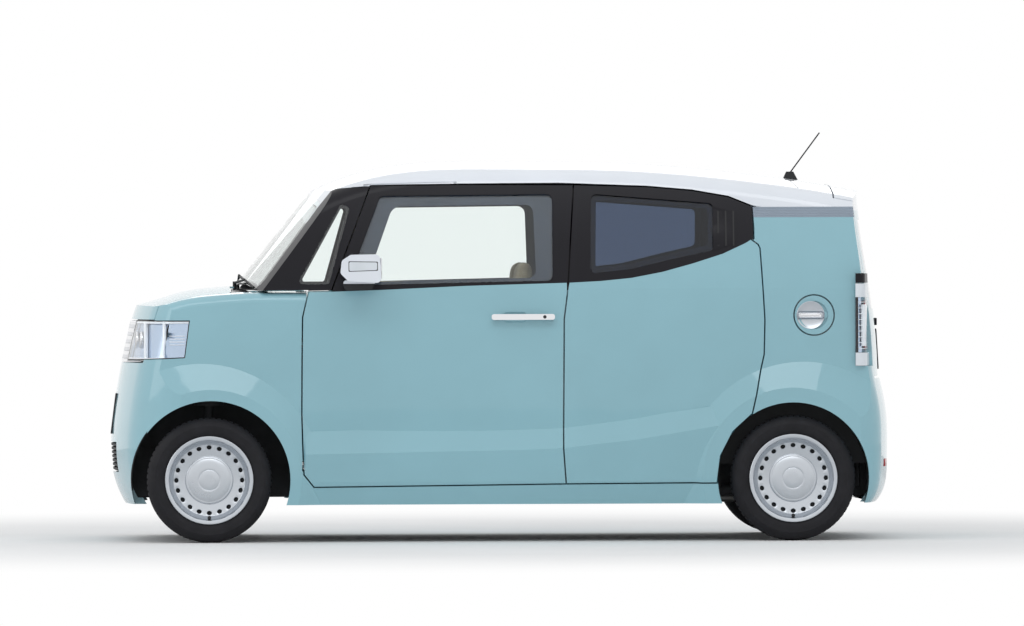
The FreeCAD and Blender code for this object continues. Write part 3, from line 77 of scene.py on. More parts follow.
class Finish:
    """One node material; the pattern reads Object coordinates in metres."""

    def __init__(self, name, colour, roughness, **sockets):
        self.material = bpy.data.materials.new(name)
        self.material.use_nodes = True
        self.tree = self.material.node_tree
        self.shader = self.tree.nodes["Principled BSDF"]
        self.output = self.tree.nodes["Material Output"]
        self.place = self.add("ShaderNodeTexCoord").outputs["Object"]
        self.colour = colour
        self.shader.inputs["Base Color"].default_value = colour
        self.shader.inputs["Roughness"].default_value = roughness
        for key, value in sockets.items():
            self.shader.inputs[key.replace("_", " ")].default_value = value
        self.height = None

    def add(self, kind, **settings):
        node = self.tree.nodes.new(kind)
        for key, value in settings.items():
            setattr(node, key, value)
        return node

    def link(self, a, b):
        self.tree.links.new(a, b)

    def noise(self, scale, detail):
        node = self.add("ShaderNodeTexNoise")
        node.inputs["Scale"].default_value = scale
        node.inputs["Detail"].default_value = detail
        self.link(self.place, node.inputs["Vector"])
        return node.outputs["Fac"]

    def math(self, kind, a, b=0.0, c=0.0):
        node = self.add("ShaderNodeMath", operation=kind)
        for socket, value in zip(node.inputs, (a, b, c)):
            if hasattr(value, "links"):
                self.link(value, socket)
            else:
                socket.default_value = value
        return node.outputs[0]

    def axis(self, name):
        node = self.add("ShaderNodeSeparateXYZ")
        self.link(self.place, node.inputs[0])
        return node.outputs[name]

    def ramp(self, value, *stops):
        node = self.add("ShaderNodeValToRGB")
        elements = node.color_ramp.elements
        while len(elements) < len(stops):
            elements.new(0.5)
        for element, (position, colour) in zip(elements, stops):
            element.position = position
            element.color = colour
        self.link(value, node.inputs[0])
        return node.outputs["Color"]

    def vary(self, amount, scale):
        """Base colour a little lighter and darker in patches."""
        low = tuple(c * (1 - amount) for c in self.colour[:3]) + (1.0,)
        high = tuple(min(1.0, c * (1 + amount)) for c in self.colour[:3]) + (1.0,)
        patches = self.ramp(self.noise(scale, 3.0), (0.35, low), (0.65, high))
        self.link(patches, self.shader.inputs["Base Color"])

    def wear(self, low, high, scale):
        """Roughness between two values in soft patches."""
        node = self.add("ShaderNodeMapRange")
        node.inputs["To Min"].default_value = low
        node.inputs["To Max"].default_value = high
        self.link(self.noise(scale, 4.0), node.inputs["Value"])
        self.link(node.outputs[0], self.shader.inputs["Roughness"])

    def bump(self, height, distance, strength=1.0):
        node = self.add("ShaderNodeBump")
        node.inputs["Distance"].default_value = distance
        node.inputs["Strength"].default_value = strength
        self.link(height, node.inputs["Height"])
        if self.height:
            self.link(self.height, node.inputs["Normal"])
        self.height = node.outputs[0]
        self.link(self.height, self.shader.inputs["Normal"])

    def cover(self, amount, shader):
        """Shows another shader instead of the main one, by an amount from 0 to 1."""
        mix = self.add("ShaderNodeMixShader")
        self.link(amount, mix.inputs["Fac"])
        self.link(self.shader.outputs["BSDF"], mix.inputs[1])
        self.link(shader.outputs[0], mix.inputs[2])
        self.link(mix.outputs[0], self.output.inputs["Surface"])

    def clear(self, tint):
        """Glass that lets lamp light through, so that what lies behind it is lit."""
        through = self.add("ShaderNodeBsdfTransparent")
        through.inputs["Color"].default_value = tint
        self.cover(self.add("ShaderNodeLightPath").outputs["Is Shadow Ray"], through)

    def fade(self, near, far):
        """Seen directly, the surface turns plain white between two distances from the middle."""
        length = self.add("ShaderNodeVectorMath", operation="LENGTH")
        self.link(self.place, length.inputs[0])
        spread = self.add("ShaderNodeMapRange", interpolation_type="SMOOTHSTEP")
        spread.inputs["From Min"].default_value = near
        spread.inputs["From Max"].default_value = far
        self.link(length.outputs["Value"], spread.inputs["Value"])
        seen = self.add("ShaderNodeLightPath").outputs["Is Camera Ray"]
        amount = self.math("MULTIPLY", spread.outputs["Result"], seen)
        self.cover(amount, self.add("ShaderNodeEmission"))


def body_paint(name, colour):
    made = Finish(name, colour, 0.42, Coat_Weight=1.0, Coat_Roughness=0.03, Specular_IOR_Level=0.4)
    made.vary(0.03, 2.2)
    made.bump(made.noise(420.0, 1.0), 0.00004, 0.35)
    return made.material


def glass_finish(name, colour, tint):
    made = Finish(name, colour, 0.0, Transmission_Weight=1.0, IOR=1.03, Coat_Weight=1.0,
                  Coat_Roughness=0.0, Coat_IOR=1.45)
    made.bump(made.noise(1.6, 1.0), 0.0004, 0.2)
    made.clear(tint)
    return made.material


def plastic(name, colour, roughness, grain=900.0, depth=0.00008, **sockets):
    made = Finish(name, colour, roughness, **sockets)
    made.vary(0.06, 6.0)
    made.bump(made.noise(grain, 3.0), depth, 0.6)
    return made.material


def metal(name, colour, roughness, scratch=0.00003):
    made = Finish(name, colour, roughness, Metallic=1.0)
    made.wear(roughness * 0.75, roughness * 1.35, 18.0)
    made.bump(made.noise(240.0, 3.0), scratch, 0.5)
    return made.material


def ribbed(name, colour, pitch=0.0072):
    """Moulded band with fine ribs along the car."""
    made = Finish(name, colour, 0.45)
    made.vary(0.04, 5.0)
    wave = made.math("SINE", made.math("MULTIPLY", made.axis("Z"), 2 * math.pi / pitch))
    made.bump(wave, 0.0011, 1.0)
    return made.material


def rubber(name, colour):
    made = Finish(name, colour, 0.72, Specular_IOR_Level=0.35)
    made.vary(0.18, 30.0)
    made.wear(0.6, 0.82, 14.0)
    made.bump(made.noise(700.0, 2.0), 0.00012, 0.6)
    return made.material


def cloth(name, colour, weave=520.0):
    made = Finish(name, colour, 0.9, Sheen_Weight=0.25, Sheen_Roughness=0.5)
    made.vary(0.10, 40.0)
    across = made.math("SINE", made.math("MULTIPLY", made.axis("Y"), weave * math.pi))
    slant = made.math("ADD", made.axis("X"), made.axis("Z"))
    along = made.math("SINE", made.math("MULTIPLY", slant, weave * math.pi))
    made.bump(made.math("MULTIPLY", across, along), 0.0006, 0.7)
    made.bump(made.noise(260.0, 3.0), 0.0004, 0.5)
    return made.material


def underside(name, colour):
    made = Finish(name, colour, 0.75)
    made.vary(0.2, 9.0)
    made.bump(made.noise(160.0, 4.0), 0.0006, 0.6)
    return made.material


AQUA = srgb(136, 184, 196)
WHITE = srgb(226, 231, 238)
FINISH = {
    "black_trim": plastic("gloss black trim", srgb(15, 14, 22), 0.30, 300.0, 0.00003,
                          Specular_IOR_Level=0.25),
    "band_grey": ribbed("ribbed grey band", srgb(152, 165, 180)),
    "clear_glass": glass_finish("clear glass", (0.93, 0.97, 0.96, 1.0), (0.90, 0.95, 0.94, 1.0)),
    "tinted_glass": glass_finish("privacy glass", (0.22, 0.27, 0.36, 1.0), (0.35, 0.40, 0.48, 1.0)),
    "lamp_clear": glass_finish("lamp lens", (0.97, 0.98, 0.99, 1.0), (0.95, 0.96, 0.97, 1.0)),
    "grille_finish": metal("bright grille", (0.72, 0.73, 0.75, 1.0), 0.14),
    "chrome_trim": metal("chrome", (0.78, 0.79, 0.81, 1.0), 0.08),
    "underbody": underside("underbody paint", srgb(34, 36, 39)),
    "black_plastic": plastic("grained black plastic", srgb(27, 28, 31), 0.62),
    "interior_plastic": plastic("cream dashboard", srgb(176, 168, 146), 0.55),
    "seat_cloth": cloth("woven seat cloth", srgb(160, 148, 128)),
    "tyre_rubber": rubber("tyre rubber", srgb(20, 20, 25)),
    "wheel_silver": metal("wheel silver", srgb(196, 201, 207), 0.3),
    "cast_metal": metal("cast metal", srgb(96, 97, 98), 0.55, 0.0002),
    "steel_tube": metal("dull steel", srgb(120, 119, 117), 0.45),
    "reflector": metal("lamp reflector", (0.50, 0.60, 0.74, 1.0), 0.18),
    "lamp_white": plastic("milky lamp block", srgb(222, 228, 234), 0.18, 200.0, 0.00002),
    "glass_frit": plastic("printed glass edge", srgb(26, 40, 62), 0.4, 400.0, 0.00001),
    "lamp_red": plastic("red lamp insert", srgb(170, 16, 22), 0.2, 200.0, 0.00002),
    "steering_rim": plastic("steering rim leather", srgb(34, 33, 34), 0.5, 500.0, 0.0003),
}


# ---- shapes
def piece(name, bm, slot, body, smooth=40.0, material=None):
    """Object at the origin from a bmesh, with its finish and its body."""
    bmesh.ops.remove_doubles(bm, verts=bm.verts, dist=1e-6)
    bmesh.ops.recalc_face_normals(bm, faces=bm.faces)
    mesh = bpy.data.meshes.new(name)
    bm.to_mesh(mesh)
    bm.free()
    obj = bpy.data.objects.new(name, mesh)
    bpy.context.scene.collection.objects.link(obj)
    mesh.materials.append(material or FINISH[slot])
    round_off(mesh, smooth)
    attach(obj, body)
    return obj


def round_off(mesh, angle):
    """Smooth shading, sharp only where two faces meet at more than this angle in degrees."""
    for polygon in mesh.polygons:
        polygon.use_smooth = True
    mesh.set_sharp_from_angle(angle=math.radians(angle))


def slab(bm, x0, x1, y0, y1, z0, z1, edge, segments=2):
    """Box between six planes, its edges rounded."""
    size = Vector((x1 - x0, y1 - y0, z1 - z0))
    middle = Vector((x1 + x0, y1 + y0, z1 + z0)) / 2
    matrix = Matrix.Translation(middle) @ Matrix.Diagonal((*size, 1.0))
    verts = bmesh.ops.create_cube(bm, size=1.0, matrix=matrix)["verts"]
    edges = list({e for v in verts for e in v.link_edges})
    bmesh.ops.bevel(bm, geom=edges, offset=edge, segments=segments, affect="EDGES", profile=0.5, material=-1)


def block(name, box, edge, segments, slot, body):
    """Piece made of one rounded slab; its two Y values may come in either order."""
    x0, x1, y0, y1, z0, z1 = box
    bm = bmesh.new()
    slab(bm, x0, x1, *sorted((y0, y1)), z0, z1, edge, segments)
    return piece(name, bm, slot, body)


def cylinder(bm, radius, start, end, segments, radius_end=None):
    a, b = Vector(start), Vector(end)
    turn = (b - a).to_track_quat("Z", "Y").to_matrix().to_4x4()
    bmesh.ops.create_cone(bm, cap_ends=True, segments=segments, radius1=radius,
                          radius2=radius if radius_end is None else radius_end, depth=(b - a).length,
                          matrix=Matrix.Translation((a + b) / 2) @ turn)


def turned(bm, profile, centre, way, steps, axis=Y_AXIS):
    """Profile of (radius, distance out) spun about an axis through a centre; way is 1 or -1 along it."""
    points = [bm.verts.new((centre.x + axis.x * way * out, centre.y + axis.y * way * out, centre.z + radius))
              for radius, out in profile]
    edges = [bm.edges.new(pair) for pair in zip(points, points[1:])]
    bmesh.ops.spin(bm, geom=points + edges, cent=centre, axis=axis, angle=2 * math.pi, steps=steps,
                   use_merge=True)


def spun(name, profiles, centre, way, steps, slot, body, smooth=40.0):
    """Piece made of turned profiles about a Y axis."""
    bm = bmesh.new()
    for profile in profiles:
        turned(bm, profile, centre, way, steps)
    return piece(name, bm, slot, body, smooth)


def everything(bm):
    return bm.verts[:] + bm.edges[:] + bm.faces[:]


def slice_across(bm, places, normal):
    """Adds edges where parallel planes cross a mesh."""
    for place in places:
        bmesh.ops.bisect_plane(bm, geom=everything(bm), plane_co=normal * place, plane_no=normal)


def steps_between(low, high, count):
    """The places that part a span into equal steps, its ends left out."""
    return [low + (high - low) * i / count for i in range(1, count)]


class Skin:
    """Outer face of some nodes, found with rays from the side, from ahead or from behind."""

    def __init__(self, *names):
        verts, faces = [], []
        for name in names:
            mesh = NODES[name].data
            start = len(verts)
            verts += [v.co.copy() for v in mesh.vertices]
            faces += [[start + i for i in p.vertices] for p in mesh.polygons]
        self.tree = BVHTree.FromPolygons(verts, faces)

    def side(self, x, z, hand):
        hit = self.tree.ray_cast(Vector((x, 2.0 * hand, z)), Vector((0, -hand, 0)))[0]
        return hit.y if hit else None

    def end(self, y, z, way):
        hit = self.tree.ray_cast(Vector((3.0 * way, y, z)), Vector((-way, 0, 0)))[0]
        return hit.x if hit else None

    def lay(self, bm, hand, lift):
        """Moves vertices onto the side skin; one that misses it takes the Y of the nearest that hits."""
        found = {vert: self.side(vert.co.x, vert.co.z, hand) for vert in bm.verts}
        laid = [(vert.co.copy(), y) for vert, y in found.items() if y is not None]
        for vert, y in found.items():
            if y is None:
                y = min(laid, key=lambda item: (item[0] - vert.co).length)[1]
            vert.co.y = y + hand * lift


def flat_face(bm, outline, rounding, segments):
    """Face in the X-Z plane with rounded corners."""
    face = bm.faces.new([bm.verts.new((x, 0.0, z)) for x, z in outline])
    if rounding:
        bmesh.ops.bevel(bm, geom=list(face.verts), offset=rounding, segments=segments, affect="VERTICES",
                        profile=0.5, material=-1)


def side_panel(name, outline, skin, hand, lift, slot, body, grid, thick, rounding=0.0, material=None):
    """Thin piece with an outline of (x, z), laid on the side of the car."""
    bm = bmesh.new()
    flat_face(bm, outline, rounding, 4)
    for values, normal in (([v.co.x for v in bm.verts], X_AXIS), ([v.co.z for v in bm.verts], Z_AXIS)):
        low, high = min(values), max(values)
        slice_across(bm, steps_between(low, high, max(1, int((high - low) / grid))), normal)
    skin.lay(bm, hand, lift)
    grown = bmesh.ops.extrude_face_region(bm, geom=bm.faces[:])["geom"]
    for vert in grown:
        if isinstance(vert, bmesh.types.BMVert):
            vert.co.y += hand * thick
    return piece(name, bm, slot, body, material=material)


def side_ring(name, outer, inner, rounding, skin, hand, body, longest=0.08):
    """Printed edge of a pane: a flat rim between two outlines with as many corners, under its outer face."""
    bm = bmesh.new()
    for outline, radius in zip((outer, inner), rounding):
        flat_face(bm, outline, radius, 5)
    edges = list(bm.edges)
    bmesh.ops.delete(bm, geom=bm.faces[:], context="FACES_ONLY")
    bmesh.ops.bridge_loops(bm, edges=edges)
    bmesh.ops.subdivide_edges(bm, edges=[e for e in bm.edges if e.calc_length() > longest], cuts=7,
                              use_grid_fill=True)
    skin.lay(bm, hand, -0.0060)
    bmesh.ops.recalc_face_normals(bm, faces=bm.faces[:])
    bmesh.ops.solidify(bm, geom=bm.faces[:], thickness=0.0012)
    return piece(name, bm, "black_trim", body, material=FINISH["glass_frit"])


def outer_sheet(node, hand, way):
    """Merged copy of a node's outer faces on one side; way is 1 where the node looks ahead, -1 back."""
    bm = bmesh.new()
    bm.from_mesh(NODES[node].data)
    bmesh.ops.delete(bm, geom=[v for v in bm.verts if v.co.y * hand < 0], context="VERTS")
    bmesh.ops.remove_doubles(bm, verts=bm.verts, dist=2e-5)
    bm.normal_update()
    hidden = [f for f in bm.faces
              if abs(f.normal.z) > 0.8 or (f.normal.y * hand < 0.2 and f.normal.x * way < 0.2)]
    bmesh.ops.delete(bm, geom=hidden, context="FACES")
    bm.normal_update()
    return bm


def wrapped(name, node, hand, inset, slot, body, way=1, thick=0.0015, limits=(), material=None):
    """Sheet that follows a node's outer face at an inset, trimmed by (normal, low, high) planes."""
    bm = outer_sheet(node, hand, way)
    for vert in bm.verts:
        vert.co -= vert.normal * inset
    for normal, low, high in limits:
        for place, sign in ((low, -1), (high, 1)):
            bmesh.ops.bisect_plane(bm, geom=everything(bm), plane_co=normal * place,
                                   plane_no=normal * sign, clear_outer=True)
    bm.normal_update()
    bmesh.ops.solidify(bm, geom=bm.faces[:], thickness=-thick if inset < 0 else thick)
    return piece(name, bm, slot, body, material=material)


def edge_bead(name, node, hand, radius, sink, slot, body, shortest=0.0004):
    """Round bead along the edge of a node's outer face."""
    sheet = outer_sheet(node, hand, 1)
    bm = bmesh.new()
    for edge in sheet.edges:
        if edge.is_boundary and edge.calc_length() > shortest:
            start, end = (vert.co - vert.normal * sink for vert in edge.verts)
            along = (end - start).normalized() * radius * 0.4
            cylinder(bm, radius, start - along, end + along, 8)
    sheet.free()
    return piece(name, bm, slot, body)


def plates(end, skin, way, back, depths, middle, reach, body):
    """Blank plate on its holder; both lean as the skin does between two heights round their middle."""
    low, top = (skin.end(NEAR_MIDDLE, middle + dz, way) for dz in (-reach, reach))
    for name, depth, wide, tall, slot in (("plate_holder_", depths[0], 0.171, 0.088, "black_plastic"),
                                          ("plate_", depths[1], 0.165, 0.0825, "paint_white")):
        bm = bmesh.new()
        slab(bm, -back, depth, -wide, wide, middle - tall, middle + tall, 0.001)
        for vert in bm.verts:
            share = (vert.co.z - middle + reach) / (2 * reach)
            vert.co.x = way * vert.co.x + low + (top - low) * share
        piece(name + end, bm, slot, body)


def moved(outline, x):
    """Outline of (x, z) points carried along the car."""
    return [(x + dx, z) for dx, z in outline]


# ---- sizes that a user may change
class KEI_PG_sizes(bpy.types.PropertyGroup):
    paint_colour: FloatVectorProperty(name="Body paint", description="Colour of the lower body",
                                      subtype="COLOR", size=3, min=0, max=1, default=AQUA[:3])
    roof_colour: FloatVectorProperty(name="Roof paint", description="Colour of the roof and mirrors",
                                     subtype="COLOR", size=3, min=0, max=1, default=WHITE[:3])
    cover_holes: IntProperty(name="Cover holes", description="Oval holes round each wheel cover",
                             default=20, min=6, max=40)
    hole_circle: FloatProperty(name="Hole circle", description="Radius of the ring of holes",
                               default=0.1417, unit="LENGTH")
    cap_radius: FloatProperty(name="Cap radius", description="Radius of the domed wheel cap",
                              default=0.101, unit="LENGTH")
    tread_blocks: IntProperty(name="Tread blocks", description="Blocks round each tyre", default=64,
                              min=20, max=120)
    groove_depth: FloatProperty(name="Groove depth", description="Depth of the tyre's grooves",
                                default=0.006, unit="LENGTH")


# ---- stage
CAMERA_PLACE = Vector((1.265, 47.0, 1.24))
CAMERA_AIM = Vector((-0.040, 0.72, 0.9866))
CAMERA_ROLL = math.radians(-0.2)
CAMERA_LENS = 377.5
WORLD_LIGHT = 0.42
WHITE_FROM, WHITE_TO = 2.4, 5.5     # distances between which the floor turns white
LAMPS = (   # name, place, target, size, watts, colour
    ("softbox_top", (0.0, 0.9, 4.6), (0.0, 0.0, 0.0), (6.5, 3.4), 14.0, (1.0, 1.0, 1.0)),
    ("softbox_side", (0.6, 5.8, 6.0), (0.0, 0.0, 0.7), (7.5, 2.0), 100.0, (0.96, 0.98, 1.0)),
    ("softbox_front", (6.0, 2.2, 2.6), (1.0, 0.0, 0.8), (3.0, 2.6), 30.0, (1.0, 1.0, 1.0)),
    ("softbox_far", (-0.5, -6.0, 3.6), (0.0, 0.0, 0.8), (7.0, 2.2), 50.0, (1.0, 1.0, 1.0)),
)


def build_world(scene):
    """Soft even light, and plain white where it is seen directly, in a reflection or through glass."""
    world = bpy.data.worlds.new("studio")
    world.use_nodes = True
    scene.world = world
    tree = world.node_tree
    light = tree.nodes["Background"]
    light.inputs["Color"].default_value = (0.93, 0.96, 1.0, 1.0)
    light.inputs["Strength"].default_value = WORLD_LIGHT
    white = tree.nodes.new("ShaderNodeBackground")
    white.inputs["Color"].default_value = (1.0, 1.0, 1.0, 1.0)
    white.inputs["Strength"].default_value = 1.0
    path = tree.nodes.new("ShaderNodeLightPath")
    either = None
    for ray in ("Is Camera Ray", "Is Glossy Ray", "Is Transmission Ray"):
        node = tree.nodes.new("ShaderNodeMath")
        node.operation = "MAXIMUM"
        tree.links.new(path.outputs[ray], node.inputs[0])
        if either:
            tree.links.new(either.outputs[0], node.inputs[1])
        either = node
    mix = tree.nodes.new("ShaderNodeMixShader")
    tree.links.new(either.outputs[0], mix.inputs["Fac"])
    tree.links.new(light.outputs[0], mix.inputs[1])
    tree.links.new(white.outputs[0], mix.inputs[2])
    tree.links.new(mix.outputs[0], tree.nodes["World Output"].inputs["Surface"])


def build_floor(scene):
    bm = bmesh.new()
    bmesh.ops.create_grid(bm, x_segments=8, y_segments=8, size=14.0)
    mesh = bpy.data.meshes.new("studio_floor")
    bm.to_mesh(mesh)
    bm.free()
    floor = bpy.data.objects.new("studio_floor", mesh)
    scene.collection.objects.link(floor)
    made = Finish("studio floor", (0.86, 0.86, 0.86, 1.0), 0.9)
    made.vary(0.02, 0.8)
    made.bump(made.noise(60.0, 2.0), 0.0004, 0.3)
    made.fade(WHITE_FROM, WHITE_TO)
    mesh.materials.append(made.material)


def build_stage(sizes):
    """World, floor, lamps and camera."""
    scene = bpy.context.scene
    scene.view_settings.view_transform = "Standard"
    build_world(scene)
    build_floor(scene)
    for name, place, target, size, power, colour in LAMPS:
        lamp = bpy.data.lights.new(name, "AREA")
        lamp.shape = "RECTANGLE"
        lamp.size, lamp.size_y = size
        lamp.energy = power
        lamp.color = colour
        obj = bpy.data.objects.new(name, lamp)
        obj.location = place
        obj.rotation_euler = (Vector(target) - Vector(place)).to_track_quat("-Z", "Y").to_euler()
        obj.visible_camera = False
        scene.collection.objects.link(obj)

    lens = bpy.data.cameras.new("camera")
    lens.lens = CAMERA_LENS
    lens.sensor_width = 36.0
    lens.clip_end = 100.0
    camera = bpy.data.objects.new("camera", lens)
    turn = (CAMERA_AIM - CAMERA_PLACE).to_track_quat("-Z", "Y").to_matrix()
    camera.location = CAMERA_PLACE
    camera.rotation_euler = (turn @ Matrix.Rotation(CAMERA_ROLL, 3, "Z")).to_euler()
    scene.collection.objects.link(camera)
    scene.camera = camera


# ---- paint
def build_paint(sizes):
    """Finishes on every packed node."""
    FINISH["paint_aqua"] = body_paint("aqua paint", (*sizes.paint_colour, 1.0))
    FINISH["paint_white"] = body_paint("white roof paint", (*sizes.roof_colour, 1.0))
    for entry in frame["record"]["subparts"]:
        node = NODES[entry["node"]]
        material = FINISH[entry["material_slot"]]
        if not node.material_slots:
            node.data.materials.append(material)
        for holder in node.material_slots:
            holder.link = "OBJECT"
            holder.material = material
        round_off(node.data, 32)


# ---- wheels
def wheel_middle(axle, hand):
    low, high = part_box(f"tyre_{axle}_{hand}")
    return (low + high) / 2


FRONT_AXLE = wheel_middle("front", "left").x
REAR_AXLE = wheel_middle("rear", "left").x

# Profiles are (radius, distance out from the wheel's middle).
SIDEWALL = [(0.1802, 0.060), (0.1860, 0.0665), (0.1925, 0.0690), (0.1960, 0.0700), (0.1985, 0.0722),
            (0.2080, 0.0752), (0.2200, 0.0772), (0.2320, 0.0768), (0.2345, 0.0772), (0.2370, 0.0760),
            (0.2450, 0.0735), (0.2540, 0.0670), (0.2610, 0.0600), (0.2655, 0.0535)]
TREAD = [(0.2672, 0.0490), (0.2690, 0.0400), (0.2692, 0.0335), (0.2630, 0.0320), (0.2630, 0.0265),
         (0.2695, 0.0250), (0.2700, 0.0060), (0.2635, 0.0045)]
STEPS_PER_BLOCK = 3
BLOCK_FOOT = 0.2655     # faces beyond this radius belong to the tread
BLOCK_INNER, BLOCK_OUTER = 0.006, 0.0535    # how far from the middle the cross grooves run
RIM = [(0.1560, 0.0500), (0.1620, 0.0470), (0.1680, 0.0440), (0.1705, 0.0480), (0.1722, 0.0680),
       (0.1745, 0.0725), (0.1800, 0.0742), (0.1880, 0.0742), (0.1898, 0.0728), (0.1898, 0.0712),
       (0.1840, 0.0695), (0.1790, 0.0600), (0.1790, -0.0600), (0.1840, -0.0700), (0.1898, -0.0710),
       (0.1898, -0.0735), (0.1880, -0.0742), (0.1740, -0.0700), (0.1690, -0.0400), (0.1610, -0.0200),
       (0.1600, 0.0200), (0.1610, 0.0400), (0.1560, 0.0430), (0.1560, 0.0500)]
COVER_INNER, COVER_OUTER = 0.1045, 0.1520
COVER_EDGES = [[(COVER_OUTER, 0.0445), (0.1535, 0.0448), (0.1550, 0.0462), (0.1560, 0.0500)],
               [(COVER_INNER, 0.0361), (0.1035, 0.0366), (0.1028, 0.0380)]]
CAP_EDGE = [(0.0018, 0.0375), (0.0012, 0.0400), (-0.002, 0.0425), (-0.005, 0.0432), (-0.008, 0.0428),
            (-0.010, 0.0440)]   # radii here are added to the cap's own
CAP_DOME = [(0.072, 0.0474), (0.052, 0.0492), (0.046, 0.0494), (0.0445, 0.0486), (0.043, 0.0494),
            (0.020, 0.0503), (0.0, 0.0505)]
WHEEL_BACK = [(0.015, 0.010), (0.030, 0.010), (0.110, 0.020), (0.159, 0.030), (0.159, 0.022),
              (0.110, 0.010), (0.100, -0.010), (0.100, -0.050), (0.060, -0.055), (0.015, -0.055),
              (0.015, 0.010)]


def every_wheel():
    for axle in AXLES:
        for hand, side in SIDES:
            yield f"{axle}_{hand}", side, wheel_middle(axle, hand), f"wheel_{axle}_{hand}_body"


def build_tyres(sizes):
    """Closed tyres with grooves along the tread and a groove across it after every block."""
    steps = sizes.tread_blocks * STEPS_PER_BLOCK
    half = SIDEWALL + TREAD
    profile = half + [(radius, -out) for radius, out in reversed(half)]
    for where, side, centre, body in every_wheel():
        bm = bmesh.new()
        turned(bm, profile + profile[:1], centre, side, steps)
        bmesh.ops.remove_doubles(bm, verts=bm.verts, dist=1e-5)
        cut = []
        for face in bm.faces:
            place = face.calc_center_median() - centre
            step = round(math.atan2(place.z, place.x) / (2 * math.pi) * steps - 0.5)
            if (math.hypot(place.x, place.z) > BLOCK_FOOT and BLOCK_INNER < abs(place.y) < BLOCK_OUTER
                    and step % STEPS_PER_BLOCK == 0):
                cut.append(face)
        bmesh.ops.recalc_face_normals(bm, faces=bm.faces)
        sunk = bmesh.ops.extrude_face_region(bm, geom=cut)["geom"]
        bmesh.ops.delete(bm, geom=[f for f in cut if f.is_valid], context="FACES_ONLY")
        for vert in sunk:
            if isinstance(vert, bmesh.types.BMVert):
                place = vert.co - centre
                radius = math.hypot(place.x, place.z)
                keep = (radius - sizes.groove_depth * 0.8) / radius
                vert.co = centre + Vector((place.x * keep, place.y, place.z * keep))
        tyre = piece(f"tyre_{where}_tread", bm, "tyre_rubber", body, 30.0)
        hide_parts(f"tyre_{where}")


def holed_ring(bm, centre, side, count, circle):
    """Dished ring with oval holes: one sector round one hole is built and spun round."""
    half = math.pi / count
    across, along = 0.0108, 0.0090      # half width and half height of a hole
    steps = 6
    depth_inner, depth_gain = 0.0360, 0.0085 / 0.048
    width = COVER_OUTER - COVER_INNER
    lips = ((1.18, 0.0), (1.02, -0.0012), (0.98, -0.0040), (0.96, -0.0110))     # (scale, sunk by)

    def depth(radius):
        return depth_inner + (radius - 0.104) * depth_gain

    def vert(radius, angle, out):
        return bm.verts.new((centre.x + radius * math.sin(angle), centre.y + side * out,
                             centre.z + radius * math.cos(angle)))

    border = ([(COVER_INNER, half * (2 * i / steps - 1)) for i in range(steps)]
              + [(COVER_INNER + width * i / steps, half) for i in range(steps)]
              + [(COVER_OUTER, half * (1 - 2 * i / steps)) for i in range(steps)]
              + [(COVER_OUTER - width * i / steps, -half) for i in range(steps)])
    loops = [[vert(r, a, depth(r)) for r, a in border]]
    for scale, sink in lips:
        loop = []
        for i in range(len(border)):
            angle = 2 * math.pi * i / len(border) - math.pi * 0.75
            r = circle + along * scale * math.sin(angle)
            loop.append(vert(r, across * scale * math.cos(angle) / circle, depth(r) + sink))
        loops.append(loop)
    faces = []
    for a, b in zip(loops, loops[1:]):
        for i in range(len(a)):
            j = (i + 1) % len(a)
            faces.append(bm.faces.new((a[i], a[j], b[j], b[i])))
    geom = [v for loop in loops for v in loop]
    edges = list({e for f in faces for e in f.edges})
    bmesh.ops.spin(bm, geom=geom + edges + faces, cent=centre, axis=Y_AXIS,
                   angle=2 * math.pi * (count - 1) / count, steps=count - 1, use_duplicate=True)


def build_wheels(sizes):
    """Rims, holed covers, caps, backs and valves."""
    cap = [(sizes.cap_radius + radius, out) for radius, out in CAP_EDGE] + CAP_DOME
    for where, side, centre, body in every_wheel():
        bm = bmesh.new()
        holed_ring(bm, centre, side, sizes.cover_holes, sizes.hole_circle)
        for profile in COVER_EDGES:
            turned(bm, profile, centre, side, 120)
        piece(f"wheel_disc_{where}", bm, "wheel_silver", body, 35.0)
        rim = spun(f"wheel_rim_{where}", [RIM], centre, side, 120, "wheel_silver", body, 35.0)
        spun(f"wheel_cap_{where}", [cap], centre, side, 96, "wheel_silver", body, 35.0)
        spun(f"wheel_back_{where}", [WHEEL_BACK], centre, side, 72, "underbody", body, 35.0)
        bm = bmesh.new()
        foot = Vector((centre.x, centre.y + side * 0.040, centre.z - 0.162))
        neck, tip = foot + Vector((0, side * 0.014, 0.002)), foot + Vector((0, side * 0.028, 0.003))
        cylinder(bm, 0.0085, foot, foot + Vector((0, side * 0.016, 0.002)), 16, 0.0070)
        cylinder(bm, 0.0052, neck, tip, 16)
        piece(f"tyre_valve_{where}", bm, "black_plastic", body)
        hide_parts(f"wheel_{where}")


